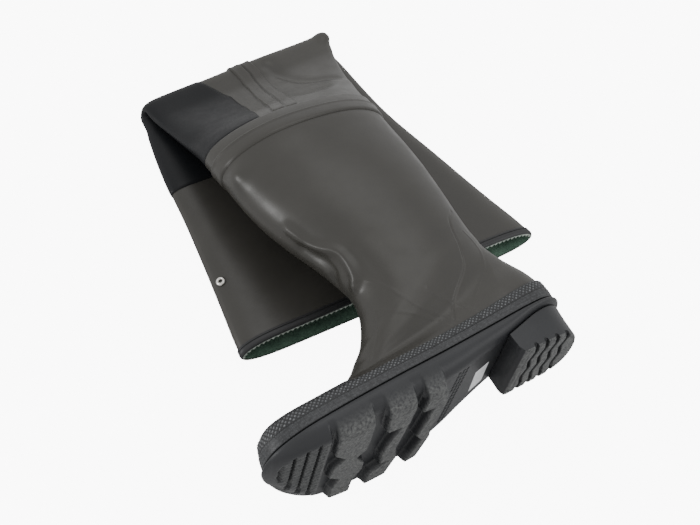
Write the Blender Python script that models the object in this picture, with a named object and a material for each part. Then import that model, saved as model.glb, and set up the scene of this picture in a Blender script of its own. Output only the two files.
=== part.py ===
"""Hip wader lying on its side, with the slack thigh folded under at the knee.

The sizes below are in millimetres and the meshes in metres.  While the pieces
are built, -X points to the toe, +Y up the leg and +Z to the inner side of the
foot, which lies uppermost.  At the end the whole wader moves so that its
origin is the middle of its footprint on the floor.
"""

import math

import bmesh
import bpy
import numpy as np

MM = 0.001
GAP = 0.3
WALL = 2.0
AROUND = 36
DENSE = 360

HEEL_TIP = 4.0
TOE_TIP = -310.0
RIM_HEEL_Y = 41.5
RIM_TOE_Y = 17.5
FOXING_THICK = 2.4
TIER_STEP = 0.7
CAP_THICK = 1.6
CAP_REAR_X = -214.0
CAP_GAP = 0.7
CAP_COLUMNS = 17
BAND_LOWER_Y = 301.0
BAND_WIDTH = 16.0
BAND_LOWER_THICK = 1.5
BAND_UPPER_THICK = 1.0
PATCH_THICK = 0.8
PATCH_GAP = 0.45
PATCH_THIGH_Y = 349.0
TAPE_THICK = 1.0
BINDING_THICK = 1.0
BINDING_DEPTH = 11.0
INSOLE_PLAY = 0.8
INSOLE_TOP = 0.5
HEEL_BREAST_X = -71.0
HEEL_GROOVE_DEPTH = 3.5
HEEL_GROOVE_WIDTH = 3.0
FOLD_RADIUS = 8.25
FOLD_HALF_THICK = 6.0
FOLD_Z = 15.6
FOLD_BACK_Y = 466.0
FOLD_FRONT_Y = 446.0
EYELET_RADIUS = 4.6

# Rim of the outsole seen from below: along (x) and across (z).
OUTLINE_COLUMNS = ("along", "across")
OUTLINE = (
    (4, 91),
    (-1, 111),
    (-17, 125.5),
    (-42, 130),
    (-80, 130),
    (-130, 131),
    (-185, 134),
    (-240, 134),
    (-276, 130),
    (-300, 118),
    (-310, 98),
    (-308, 80),
    (-300, 63),
    (-286, 40),
    (-262, 14),
    (-232, 1.5),
    (-195, 0),
    (-155, 6),
    (-122, 19),
    (-98, 36),
    (-76, 48),
    (-45, 53),
    (-17, 58),
    (-0.5, 71),
)

# Sections of the foot, from the sole up to the ankle.  Each is a tilted loop:
# its back and front ends, how far it sags between them, where its middle lies
# across the foot, its half width, how far it is set in from the sole's rim,
# and how much of it is oval (0 follows the sole, 1 is an oval).
FOOT_COLUMNS = ("back_x", "front_x", "back_y", "front_y", "bow", "mid_back", "mid_front", "half", "inset", "oval")
FOOT = (
    (-0.8, -305.0, 41.8, 17.8, 0, 91, 82, 34, 5.0, 0.0),
    (0.2, -302.5, 52, 29, -3, 91, 82, 34, 7.0, 0.0),
    (-0.6, -298.0, 63, 39.5, -6, 91, 82, 34, 10.5, 0.0),
    (-2.4, -290, 71, 43.5, -7.5, 91, 82, 34, 16.5, 0.05),
    (-5.5, -277, 80, 46.5, -9.5, 91, 82, 34, 23.5, 0.14),
    (-9.5, -258, 89, 48.5, -10, 91, 82, 33.5, 30.0, 0.30),
    (-13, -236, 97.5, 50, -8.5, 91, 82, 33.5, 32.0, 0.50),
    (-16, -216, 107, 53, -5.5, 91, 82, 34, 25.0, 0.72),
    (-18.2, -201, 116, 59.5, -2, 90.5, 83.5, 35.5, 13.0, 0.90),
    (-19.6, -189, 124, 71, 0, 90, 86, 36.5, 8.0, 1.0),
    (-20.5, -177, 133, 82, 0, 90, 87, 37, 8.0, 1.0),
    (-21, -166.5, 143, 97, 0, 89, 88, 37.5, 8.0, 1.0),
    (-21, -159, 154, 113, 0, 88.5, 88.5, 38.5, 8.0, 1.0),
)

# Sections of the leg from the ankle to the fold: back and front edges, their
# heights, the lowest and highest point, and how square the loop is.
LEG_COLUMNS = ("back_x", "front_x", "back_y", "front_y", "low", "high", "square")
LEG = (
    (-20.8, -156, 168, 131, 49, 128, 2.1),
    (-19, -160, 185, 153, 45.5, 128.5, 2.1),
    (-17, -168, 206, 179, 42, 129, 2.15),
    (-15, -178.5, 230, 209, 38, 129, 2.2),
    (-14.5, -187, 256, 243, 34, 128, 2.2),
    (-15, -191.5, 280, 277, 30.5, 125.5, 2.2),
    (-14.5, -193, 302, 306, 28, 122, 2.2),
    (-11, -192.5, 325, 330, 25.5, 111, 2.3),
    (-5, -190.5, 351, 350, 23, 93, 2.5),
    (3, -189.5, 376, 369, 21.2, 72, 2.8),
    (9, -190.5, 399, 390, 20.2, 54, 3.4),
    (15, -192, 421, 408, 19.4, 41, 4.2),
    (21, -194.5, 440, 424, 18.6, 32.6, 5.0),
    (26, -197, 455, 437, 18.0, 30.2, 6.0),
)

# Sections of the thigh from the fold back to the collar.
THIGH_COLUMNS = ("back_x", "front_x", "back_y", "front_y", "low", "high", "square", "turn")
THIGH = (
    (32, -202.5, 454, 436, 1.5, 13.5, 6.0, 180),
    (34, -205.5, 436, 424, 1.6, 13.7, 6.0, 180),
    (36.5, -211, 400, 395, 1.7, 15.2, 5.5, 180),
    (42, -217, 357, 356, 1.3, 17.5, 5.0, 180),
    (52.5, -222.5, 308, 308, 0.0, 20.5, 4.6, 180),
    (64, -229.5, 258, 258, 0.0, 23.5, 4.4, 180),
    (75.5, -237, 213, 213, 0.4, 26.0, 4.2, 182),
    (84.5, -243, 176, 176, 1.5, 28.0, 4.2, 187),
    (88.5, -245.5, 153.5, 153.5, 1.8, 28.6, 4.2, 189),
)

# Lines on the near side of the leg between the joint band and the fold: the
# patch's edge and the tape's two edges, by height up the leg.
LINE_COLUMNS = ("height", "patch_x", "tape_left_x", "tape_right_x")
LINES = (
    (318, -142, -128, -101),
    (340, -136, -122, -95),
    (386, -121, -104, -77),
    (425, -115, -94, -70),
    (446, -123, -93, -67),
    (462, -132, -95, -70),
)

FOLD_STEPS = 5

# Underside of the outsole plate by distance along the foot.
UNDER_COLUMNS = ("along", "height")
UNDER = (
    (8, 34),
    (-20, 33),
    (-36, 31),
    (-55, 26),
    (-71, 22),
    (-86, 19.2),
    (-103, 16.5),
    (-120, 13.5),
    (-140, 10.5),
    (-170, 8.5),
    (-215, 8),
    (-255, 8),
    (-285, 9.5),
    (-312, 12.5),
)

# Loops of the outsole's side: set in from the rim, share of the plate's height.
SIDE_COLUMNS = ("inset", "share")
SIDE = (
    (11.0, 0.0),
    (5.5, 0.08),
    (1.8, 0.32),
    (0.0, 0.7),
    (1.6, 1.0),
)

# The three stepped lug bars, from the near edge of the sole to the far edge:
# across, and the toe-side and heel-side edges of the tread there.
LUG_COLUMNS = ("across", "toe_side", "heel_side")
LUG_REAR = (
    (118, -166, -146),
    (101, -168, -143),
    (100, -157, -143),
    (82, -158, -145),
    (58, -162, -150),
    (54, -163, -147),
    (42, -155, -146),
    (14, -164, -152),
)
LUG_MIDDLE = (
    (119, -204, -177),
    (93, -201, -178),
    (91, -187, -179),
    (68, -195, -181),
    (52, -198, -183),
    (33, -196, -179),
    (31, -187, -178),
    (24, -204, -180),
    (7, -206, -184),
)
LUG_FRONT = (
    (116, -251, -217),
    (92, -250, -216),
    (78, -239, -217),
    (69, -248, -225),
    (53, -250, -215),
    (40, -238, -214),
    (27, -243, -221),
    (15, -243, -221),
)
LUG_BARS = (("rear", LUG_REAR, 0.0), ("middle", LUG_MIDDLE, 0.0), ("front", LUG_FRONT, 1.0))

# Bars of the toe section: front and rear edges at the tread.
TOE_BAR_COLUMNS = ("rear_x", "front_x", "tread_y")
TOE_BARS = (
    (-257.0, -265.2, 3.0),
    (-267.4, -275.8, 3.8),
    (-278.0, -286.4, 5.0),
    (-288.6, -296.6, 6.6),
    (-298.8, -304.5, 8.6),
)

TOE_BAR_FAR_INSET = 5.0
HEEL_TAPER = 0.13
HEEL_TAPER_FROM_X = -42.0

HEEL_GROOVES_X = (-56.5, -45.5, -34.0, -22.5)
HEEL_ZIGZAG = 5.0
HEEL_ZIGZAG_ACROSS = (48, 66, 79, 92, 105, 118, 136)


def spline(rows, t):
    """Smooth curve through table rows, t counted in rows."""
    rows = np.asarray(rows, dtype=float)
    last = len(rows) - 1
    i = int(min(max(math.floor(t), 0), last - 1))
    f = t - i
    before = rows[i - 1] if i > 0 else 2 * rows[i] - rows[i + 1]
    after = rows[i + 2] if i + 2 <= last else 2 * rows[i + 1] - rows[i]
    a, b = rows[i], rows[i + 1]
    return 0.5 * (2 * a + (b - before) * f + (2 * before - 5 * a + 4 * b - after) * f**2
                  + (3 * a - before - 3 * b + after) * f**3)


def closed_spline(rows, count):
    """Smooth closed loop through table rows, at even distances along it."""
    rows = np.asarray(rows, dtype=float)
    padded = np.vstack([rows[-1:], rows, rows[:2]])
    fine = []
    for i in range(len(rows)):
        for f in np.linspace(0, 1, 24, endpoint=False):
            fine.append(spline(padded, i + 1 + f))
    fine = np.array(fine + [fine[0]])
    walk = np.concatenate([[0], np.cumsum(np.linalg.norm(np.diff(fine, axis=0), axis=1))])
    at = np.linspace(0, walk[-1], count, endpoint=False)
    return np.stack([np.interp(at, walk, fine[:, k]) for k in range(2)], axis=1)


RIM = closed_spline(OUTLINE, DENSE)


def inset_rim(distance):
    """The sole's rim set in by a distance, or by one distance for each point."""
    distance = np.broadcast_to(np.asarray(distance, dtype=float), (DENSE,))[:, None]
    step = np.roll(RIM, -2, axis=0) - np.roll(RIM, 2, axis=0)
    step /= np.linalg.norm(step, axis=1)[:, None]
    inward = np.stack([step[:, 1], -step[:, 0]], axis=1)
    middle = RIM.mean(axis=0)
    if np.sum(inward * (middle - RIM)) < 0:
        inward = -inward
    return RIM + inward * distance


def rim_height(x):
    """Height of the joint between outsole and foxing."""
    return RIM_TOE_Y + (RIM_HEEL_Y - RIM_TOE_Y) * (x - TOE_TIP) / (HEEL_TIP - TOE_TIP)


def under_height(x):
    """Underside of the outsole plate."""
    table = np.array(UNDER[::-1], dtype=float)
    return np.interp(x, table[:, 0], table[:, 1])


def stadium(half_long, half_thick, square):
    """Loop with rounded ends: an oval while round, a slack flat tube when thin."""
    angle = np.linspace(0, 2 * np.pi, 4 * DENSE, endpoint=False)
    c, s = np.cos(angle), np.sin(angle)
    end = min(half_thick, half_long)
    blend = min(max((square - 2.2) / 2.8, 0.0), 1.0)
    a = np.sign(c) * np.abs(c) ** (2 / square) * half_long
    b = np.sign(c) * np.abs(c) ** 0.08 * (half_long - end) + end * c
    x = (1 - blend) * a + blend * b
    return x, half_thick * s


def table_rows():
    """All sections in order, each as a dictionary of its sizes."""
    rows = []
    for row in FOOT:
        item = dict(zip(FOOT_COLUMNS, row))
        rows.append([item["back_x"], item["front_x"], item["back_y"], item["front_y"], item["bow"],
                     item["mid_back"], item["mid_front"], item["half"], item["inset"], item["oval"], 2.1, 0.0])
    for row in LEG:
        item = dict(zip(LEG_COLUMNS, row))
        mid = (item["low"] + item["high"]) / 2
        half = (item["high"] - item["low"]) / 2
        rows.append([item["back_x"], item["front_x"], item["back_y"], item["front_y"], 0, mid, mid, half,
                     8.0, 1.0, item["square"], 0.0])
    back_x, front_x = LEG[-1][0], LEG[-1][1]
    for k in range(1, FOLD_STEPS + 1):
        turn = 180 * k / (FOLD_STEPS + 1)
        share = turn / 180
        reach = FOLD_RADIUS * math.sin(math.radians(turn))
        rise = FOLD_RADIUS * math.cos(math.radians(turn))
        rows.append([back_x + 5 * share, front_x - 5.5 * share, FOLD_BACK_Y + reach, FOLD_FRONT_Y + reach, 0,
                     FOLD_Z + rise, FOLD_Z + rise, FOLD_HALF_THICK, 8.0, 1.0, 6.0, turn])
    for row in THIGH:
        item = dict(zip(THIGH_COLUMNS, row))
        mid = (item["low"] + item["high"]) / 2
        half = (item["high"] - item["low"]) / 2
        rows.append([item["back_x"], item["front_x"], item["back_y"], item["front_y"], 0, mid, mid, half,
                     8.0, 1.0, item["square"], item["turn"]])
    return np.array(rows, dtype=float)


SECTIONS = table_rows()
V_FOXING_TOP = 2.0
V_LEG = float(len(FOOT))
V_FOLD = float(len(FOOT) + len(LEG) - 1)
V_THIGH = float(len(FOOT) + len(LEG) + FOLD_STEPS)
V_COLLAR = float(len(SECTIONS) - 1)


def ring(v):
    """Dense loop of the outer surface at section v, from the back round the inner side."""
    (back_x, front_x, back_y, front_y, bow, mid_back, mid_front, half, inset, round_share, square,
     turn) = spline(SECTIONS, v)
    half_long = (back_x - front_x) / 2
    middle_x = (back_x + front_x) / 2
    x_oval, z_oval = stadium(half_long, half, square)
    step = np.hypot(np.diff(x_oval, append=x_oval[0]), np.diff(z_oval, append=z_oval[0]))
    heading = np.arctan2(np.diff(z_oval, append=z_oval[0]), np.diff(x_oval, append=x_oval[0]))
    bend = np.abs((np.diff(heading, append=heading[0]) + np.pi) % (2 * np.pi) - np.pi)
    weight = 0.62 * step / step.sum() + 0.38 * bend / bend.sum()
    walk = np.concatenate([[0], np.cumsum(weight)])
    even = np.linspace(0, walk[-1], DENSE, endpoint=False)
    x_loop = np.interp(even, walk, np.append(x_oval, x_oval[0]))
    w_loop = np.interp(even, walk, np.append(z_oval, z_oval[0]))
    share = x_loop / half_long
    if round_share < 0.999:
        toward_toe = (RIM[:, 0].max() - RIM[:, 0]) / (RIM[:, 0].max() - RIM[:, 0].min())
        sole = inset_rim(5.0 + (inset - 5.0) * np.clip(toward_toe * 1.5 - 0.25, 0, 1))
        sole_share = 1 - 2 * (sole[:, 0].max() - sole[:, 0]) / (sole[:, 0].max() - sole[:, 0].min())
        middle = mid_front + (mid_back - mid_front) * (sole_share + 1) / 2
        sole_w = sole[:, 1] - middle
        share = sole_share * (1 - round_share) + share * round_share
        w_loop = sole_w * (1 - round_share) + w_loop * round_share
    x = middle_x + half_long * share
    y = (back_y + front_y) / 2 + (back_y - front_y) / 2 * share + bow * (1 - share**2)
    z = mid_front + (mid_back - mid_front) * (share + 1) / 2
    angle = math.radians(turn)
    y = y + w_loop * math.sin(angle)
    z = z + w_loop * math.cos(angle)
    return np.stack([x, y, z], axis=1)


RINGS = {}


def cached_ring(v):
    key = round(float(v), 5)
    if key not in RINGS:
        RINGS[key] = ring(key)
    return RINGS[key]


def surface(u, v):
    """Points of the outer surface at shares u round section v."""
    loop = cached_ring(v)
    at = np.mod(np.asarray(u, dtype=float), 1.0) * DENSE
    whole = np.append(np.arange(DENSE), DENSE)
    closed = np.vstack([loop, loop[:1]])
    return np.stack([np.interp(at, whole, closed[:, k]) for k in range(3)], axis=1)


def skin(u, v, offset):
    """Points at a distance outside the outer surface."""
    u = np.asarray(u, dtype=float)
    low, high = max(v - 0.06, 0.0), min(v + 0.06, V_COLLAR)
    along = surface(u, high) - surface(u, low)
    around = surface(u + 0.004, v) - surface(u - 0.004, v)
    normal = np.cross(along, around)
    normal /= np.linalg.norm(normal, axis=1)[:, None]
    return surface(u, v) + normal * np.asarray(offset, dtype=float)[..., None]


def shares(count):
    return np.arange(count) / count


def u_at(v, fraction, inner_side=True):
    """Share round section v where the loop crosses a fraction of its length."""
    loop = cached_ring(v)
    x = loop[:, 0]
    half = DENSE // 2
    middle, reach = (x.max() + x.min()) / 2, (x.max() - x.min()) / 2
    wanted = middle + reach * fraction
    rank = np.arange(DENSE)
    part = slice(0, half + 1) if inner_side else slice(half, DENSE)
    xs, us = x[part], rank[part] / DENSE
    order = np.argsort(xs)
    return float(np.interp(wanted, xs[order], us[order]))


def u_at_x(v, wanted, inner_side=True):
    loop = cached_ring(v)
    x = loop[:, 0]
    middle, reach = (x.max() + x.min()) / 2, (x.max() - x.min()) / 2
    return u_at(v, (wanted - middle) / reach, inner_side)


def v_at_y(y, first, last):
    """Section whose middle lies at height y."""
    vs = np.linspace(first, last, 200)
    ys = [cached_ring(v)[:, 1].mean() for v in vs]
    if ys[0] > ys[-1]:
        vs, ys = vs[::-1], ys[::-1]
    return float(np.interp(y, ys, vs))


def material(name, color, roughness, metallic=0.0):
    mat = bpy.data.materials.new(name)
    mat.use_nodes = True
    shader = mat.node_tree.nodes["Principled BSDF"]
    shader.inputs["Base Color"].default_value = (*color, 1.0)
    shader.inputs["Roughness"].default_value = roughness
    shader.inputs["Metallic"].default_value = metallic
    mat.diffuse_color = (*color, 1.0)
    return mat


def piece(name, bm, mat, angle=35):
    """Object from a bmesh whose faces are set to point out."""
    bmesh.ops.remove_doubles(bm, verts=bm.verts, dist=1e-6)
    bmesh.ops.recalc_face_normals(bm, faces=bm.faces)
    mesh = bpy.data.meshes.new(name)
    bm.to_mesh(mesh)
    bm.free()
    mesh.shade_smooth()
    mesh.set_sharp_from_angle(angle=math.radians(angle))
    mesh.materials.append(mat)
    obj = bpy.data.objects.new(name, mesh)
    bpy.context.scene.collection.objects.link(obj)
    return obj


def add_points(bm, points):
    return [bm.verts.new((p[0] * MM, p[1] * MM, p[2] * MM)) for p in points]


def bridge(bm, first, second, closed=True):
    """Faces between two rows of vertices."""
    count = len(first)
    for i in range(count if closed else count - 1):
        j = (i + 1) % count
        bm.faces.new((first[i], first[j], second[j], second[i]))


def cap_across(bm, loop):
    """Closes a loop with faces across it; the first vertex is at its back end."""
    count = len(loop)
    for i in range(count // 2):
        corners = []
        for vert in (loop[i], loop[i + 1], loop[count - i - 1], loop[(count - i) % count]):
            if vert not in corners:
                corners.append(vert)
        for k in range(1, len(corners) - 1):
            bm.faces.new((corners[0], corners[k], corners[k + 1]))


def tube(rings_of_points):
    """Closed solid from loops in order round its section, the last joined to the first."""
    bm = bmesh.new()
    loops = [add_points(bm, points) for points in rings_of_points]
    for k, loop in enumerate(loops):
        bridge(bm, loop, loops[(k + 1) % len(loops)])
    return bm


def sheet(outer, inner):
    """Closed solid between two matching grids of points."""
    bm = bmesh.new()
    top = [add_points(bm, row) for row in outer]
    under = [add_points(bm, row) for row in inner]
    for grid in (top, under):
        for a, b in zip(grid, grid[1:]):
            bridge(bm, a, b, closed=False)
    bridge(bm, top[0], under[0], closed=False)
    bridge(bm, top[-1], under[-1], closed=False)
    bridge(bm, [row[0] for row in top], [row[0] for row in under], closed=False)
    bridge(bm, [row[-1] for row in top], [row[-1] for row in under], closed=False)
    return bm


def boolean(target, cutter, operation):
    """Applies a Boolean and removes the second object."""
    mod = target.modifiers.new(operation.title(), "BOOLEAN")
    mod.operation = operation
    mod.solver = "EXACT"
    mod.object = cutter
    graph = bpy.context.evaluated_depsgraph_get()
    mesh = bpy.data.meshes.new_from_object(target.evaluated_get(graph))
    target.modifiers.clear()
    target.data = mesh
    bpy.data.objects.remove(cutter, do_unlink=True)


def build_upper(mat):
    """The hollow leg: outer and inner skins joined at the collar and at the sole."""
    us = shares(AROUND)
    stations = list(np.arange(0, V_LEG + 0.01, 1.0))
    stations += [v for v in np.arange(V_LEG + 1, V_FOLD + 0.01, 1.0)]
    stations += [v for v in np.arange(V_FOLD + 1, V_THIGH + 0.01, 1.0)]
    stations += [v for v in np.arange(V_THIGH + 1, V_COLLAR + 0.01, 1.0)]
    outer = [skin(us, v, np.zeros(AROUND)) for v in stations]
    inner = [skin(us, v, np.full(AROUND, -WALL)) for v in stations]
    inner[0][:, 1] = outer[0][:, 1]
    return piece("upper", tube(outer + inner[::-1]), mat, 60)


def loop_strip(first_v, last_v, inner_gap, profile, inside, around=AROUND):
    """Band round the leg: profile gives (share between the sections, thickness).

    The second list holds the sections of its inner face.
    """
    us = shares(around)
    outer = []
    for share, thick in profile:
        v = first_v + (last_v - first_v) * share
        outer.append(skin(us, v, np.full(around, inner_gap + thick)))
    inner = []
    for v in sorted(inside, reverse=True):
        inner.append(skin(us, v, np.full(around, inner_gap)))
    return tube(outer + inner)


def build_foxing(mat):
    """Textured band in two tiers, the lower one standing prouder."""
    profile = ((0.0, FOXING_THICK), (0.49, FOXING_THICK), (0.52, FOXING_THICK - TIER_STEP),
               (0.97, FOXING_THICK - TIER_STEP), (1.0, 0.9))
    inside = (0.02, 1.0, V_FOXING_TOP)
    return piece("foxing", loop_strip(0.02, V_FOXING_TOP, GAP, profile, inside), mat)


def build_toe_cap(mat):
    """Cap over the toe, its rear edge square across the foot."""
    rows_outer, rows_inner = [], []
    for v in (V_FOXING_TOP + 0.09, 3.0, 4.0, 5.0, 6.0, 6.35, 6.7):
        near = u_at_x(v, CAP_REAR_X)
        far = u_at_x(v, CAP_REAR_X, inner_side=False)
        us = np.linspace(near, far, CAP_COLUMNS)
        edge = np.minimum(np.arange(CAP_COLUMNS), np.arange(CAP_COLUMNS)[::-1])
        rows_outer.append(facet_skin(us, v, CAP_GAP + np.where(edge > 0, CAP_THICK, 0.7)))
        rows_inner.append(facet_skin(us, v, np.full(CAP_COLUMNS, CAP_GAP)))
    return piece("toe_cap", sheet(rows_outer, rows_inner), mat)


def build_joint_band(mat):
    """Two stepped tapes round the leg where the boot part ends."""
    low = v_at_y(BAND_LOWER_Y, V_LEG, V_FOLD)
    high = v_at_y(BAND_LOWER_Y + 2 * BAND_WIDTH, V_LEG, V_FOLD)
    profile = ((0.0, 0.8), (0.06, BAND_LOWER_THICK), (0.48, BAND_LOWER_THICK),
               (0.54, BAND_UPPER_THICK), (0.95, BAND_UPPER_THICK), (1.0, 0.5))
    inside = [low] + [v for v in np.arange(V_LEG, V_FOLD) if low + 0.05 < v < high - 0.05] + [high]
    return piece("joint_band", loop_strip(low, high, GAP, profile, inside), mat), high


def facet_skin(u, v, offset):
    """Points outside the straight facets between the whole sections."""
    low = math.floor(v + 1e-6)
    share = v - low
    if share < 1e-4:
        return skin(u, low, offset)
    return skin(u, low, offset) * (1 - share) + skin(u, low + 1, offset) * share


def patch_rows(first_v, last_v, edges, thickness, gap):
    """Sheet on the leg between two edges given as shares round each section.

    Its inner columns and rows follow those of the upper, so the two stay parallel.
    """
    whole = [v for v in np.arange(0, V_COLLAR) if first_v + 0.1 < v < last_v - 0.1]
    stations = [first_v] + whole + [last_v]
    spans = [edges(v) for v in stations]
    start_most = max(start for start, _ in spans)
    stop_least = min(stop for _, stop in spans)
    grid = [k / AROUND for k in range(AROUND) if start_most + 0.004 < k / AROUND < stop_least - 0.004]
    outer, inner = [], []
    for v, (start, stop) in zip(stations, spans):
        us = np.array([start] + grid + [stop])
        outer.append(facet_skin(us, v, gap + thickness(len(us))))
        inner.append(facet_skin(us, v, np.full(len(us), gap)))
    return sheet(outer, inner)


def line_x(v, column):
    """Place of a patch or tape line at section v, held past the fold."""
    table = np.array(LINES, dtype=float)
    height = cached_ring(min(v, V_FOLD + 1))[:, 1].mean()
    return float(np.interp(height, table[:, 0], table[:, LINE_COLUMNS.index(column)]))


def build_knee_patch(mat, band_top):
    """Patch over the front of the knee, wrapped round the fold."""
    end = v_at_y(PATCH_THIGH_Y, V_THIGH, V_COLLAR)

    def edges(v):
        x = line_x(v, "patch_x")
        return u_at_x(v, x), u_at_x(v, x, inner_side=False)

    def thick(count):
        return np.full(count, PATCH_THICK)

    return piece("knee_patch", patch_rows(band_top + 0.03, end, edges, thick, PATCH_GAP), mat)


def build_side_tape(mat, band_top):
    """Raised tape with one step up the side seam, from the joint band round the fold."""
    end = v_at_y(PATCH_THIGH_Y + 60, V_THIGH, V_COLLAR)
    steps = np.array([0.5, 0.7, 0.7, 1.0, 1.0, 0.6]) * TAPE_THICK
    whole = [v for v in np.arange(V_LEG, V_COLLAR) if band_top + 0.1 < v < end - 0.1]
    outer, inner = [], []
    for v in [band_top + 0.03] + whole + [end]:
        us = np.linspace(u_at_x(v, line_x(v, "tape_right_x")), u_at_x(v, line_x(v, "tape_left_x")), 6)
        outer.append(skin(us, v, GAP + steps))
        inner.append(skin(us, v, np.full(6, GAP)))
    return piece("side_tape", sheet(outer, inner), mat)


def build_binding(mat):
    """Tape folded over the collar's edge."""
    us = shares(AROUND)
    edge = surface(us, V_COLLAR)
    normal = skin(us, V_COLLAR, np.ones(AROUND)) - edge
    out = np.array([0.0, -1.0, 0.0])
    over = GAP + BINDING_THICK
    profile = ((-BINDING_DEPTH, GAP), (-BINDING_DEPTH, over), (over - 0.4, over), (over, over - 0.4),
               (over, -WALL - over), (-4.0, -WALL - over), (-4.0, -WALL - GAP), (GAP, -WALL - GAP), (GAP, GAP))
    loops = []
    for along, offset in profile:
        if along < -1:
            v = V_COLLAR + along / 20.6
            base = surface(us, v)
            side = skin(us, v, np.ones(AROUND)) - base
            loops.append(base + side * offset)
        else:
            loops.append(edge + out * along + normal * offset)
    return piece("binding", tube(loops), mat)


def plate_loop(distance, share, count):
    """Loop of the outsole's side."""
    loop = inset_rim(distance)[:: DENSE // count]
    x = loop[:, 0]
    low = under_height(x)
    high = rim_height(x) - 0.5
    return np.stack([x, low + (high - low) * share, loop[:, 1]], axis=1)


def build_plate(mat):
    """Outsole plate with its rounded side."""
    count = 60
    bm = bmesh.new()
    loops = [add_points(bm, plate_loop(distance, share, count)) for distance, share in SIDE]
    for a, b in zip(loops, loops[1:]):
        bridge(bm, a, b)
    cap_across(bm, loops[0])
    cap_across(bm, loops[-1])
    return piece("outsole", bm, mat)


def prism(polygon, low, high):
    """Solid over a polygon in x and z, from height low (a function of x) to high."""
    bottom = [(x, low(x) if callable(low) else low, z) for x, z in polygon]
    top = [(x, high(x) if callable(high) else high, z) for x, z in polygon]
    bm = bmesh.new()
    lower = add_points(bm, bottom)
    upper = add_points(bm, top)
    bm.faces.new(lower)
    bm.faces.new(upper[::-1])
    bridge(bm, lower, upper)
    bmesh.ops.recalc_face_normals(bm, faces=bm.faces)
    bmesh.ops.triangulate(bm, faces=list(bm.faces))
    return bm


def across_limits(x, inset):
    """Far and near edges of the sole at a place along it."""
    loop = inset_rim(inset)
    near = loop[: DENSE // 2]
    far = loop[DENSE // 2:]
    near = near[np.argsort(near[:, 0])]
    far = far[np.argsort(far[:, 0])]
    return float(np.interp(x, far[:, 0], far[:, 1])), float(np.interp(x, near[:, 0], near[:, 1]))


def build_outsole(mat):
    """Plate, stepped lug bars and toe section in one moulding."""
    sole = build_plate(mat)
    for name, table, tread in LUG_BARS:
        toe_edge = [(row[1], row[0]) for row in table]
        heel_edge = [(row[2], row[0]) for row in table]
        polygon = toe_edge + heel_edge[::-1]
        bar = piece("bar_" + name, prism(polygon, tread, 12.0), mat)
        boolean(sole, bar, "UNION")
    for rear_x, front_x, tread in TOE_BARS:
        far_rear, near_rear = across_limits(rear_x, 7.0)
        far_front, near_front = across_limits(front_x, 7.0)
        far_rear += TOE_BAR_FAR_INSET
        far_front += TOE_BAR_FAR_INSET
        polygon = ((rear_x, near_rear), (front_x, near_front), (front_x, far_front), (rear_x, far_rear))
        bar = piece("toe_bar", prism(polygon, tread, under_height(front_x) + 1.5), mat)
        boolean(sole, bar, "UNION")
    sole.data.shade_smooth()
    sole.data.set_sharp_from_angle(angle=math.radians(35))
    return sole


def build_heel(mat):
    """Heel block with its sloping seat, slanted breast and zigzag grooves."""
    count = 28
    levels = ((4.5, 1.0), (4.0, 0.55), (2.6, 0.06), (4.2, 0.0))
    loops = []
    for inset, share in levels:
        loop = inset_rim(inset)
        breast = HEEL_BREAST_X + (0.0 if share > 0.3 else (2.0 if share > 0.03 else 5.5))
        keep = loop[loop[:, 0] > breast]
        start = int(np.argmax(np.linalg.norm(keep - np.roll(keep, 1, axis=0), axis=1)))
        keep = np.roll(keep, -start, axis=0)
        pick = keep[np.linspace(0, len(keep) - 1, count).astype(int)]
        seat = under_height(pick[:, 0]) - GAP
        behind = np.maximum(pick[:, 0] - HEEL_TAPER_FROM_X, 0.0)
        x = pick[:, 0] - behind * HEEL_TAPER * (1 - share)
        loops.append(np.stack([x, seat * share, pick[:, 1]], axis=1))
    bm = bmesh.new()
    rows = [add_points(bm, loop) for loop in loops]
    for a, b in zip(rows, rows[1:]):
        bridge(bm, a, b)
    for loop in (rows[0], rows[-1]):
        for i in range(count // 2 - 1):
            bm.faces.new((loop[i], loop[i + 1], loop[count - i - 2], loop[count - i - 1]))
    bmesh.ops.triangulate(bm, faces=[f for f in bm.faces if len(f.verts) == 4])
    heel = piece("heel", bm, mat)
    for x in HEEL_GROOVES_X:
        front, back = [], []
        for k, z in enumerate(HEEL_ZIGZAG_ACROSS):
            shift = HEEL_ZIGZAG / 2 * (1 if k % 2 else -1)
            front.append((x - HEEL_GROOVE_WIDTH / 2 + shift, z))
            back.append((x + HEEL_GROOVE_WIDTH / 2 + shift, z))
        cutter = piece("groove", prism(front + back[::-1], -2.0, HEEL_GROOVE_DEPTH), mat)
        boolean(heel, cutter, "DIFFERENCE")
    heel.data.shade_smooth()
    heel.data.set_sharp_from_angle(angle=math.radians(35))
    return heel


def build_insole(mat):
    """Flat sheet inside the foot, following the upper's inner face."""
    us = shares(AROUND)
    bm = bmesh.new()
    loops = []
    for v in (0.12, INSOLE_TOP):
        points = skin(us, v, np.full(AROUND, -WALL - INSOLE_PLAY))
        points[:, 1] = surface(us, v)[:, 1]
        loops.append(add_points(bm, points))
    bridge(bm, loops[0], loops[1])
    cap_across(bm, loops[0])
    cap_across(bm, loops[1])
    return piece("insole", bm, mat)


def frame_at(v, u):
    """Point, outward direction and direction along the leg on the outer surface."""
    base = surface([u], v)[0]
    normal = skin([u], v, np.ones(1))[0] - base
    along = surface([u], v + 0.05)[0] - surface([u], v - 0.05)[0]
    along -= normal * np.dot(along, normal)
    along /= np.linalg.norm(along)
    return base, normal, along


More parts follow.
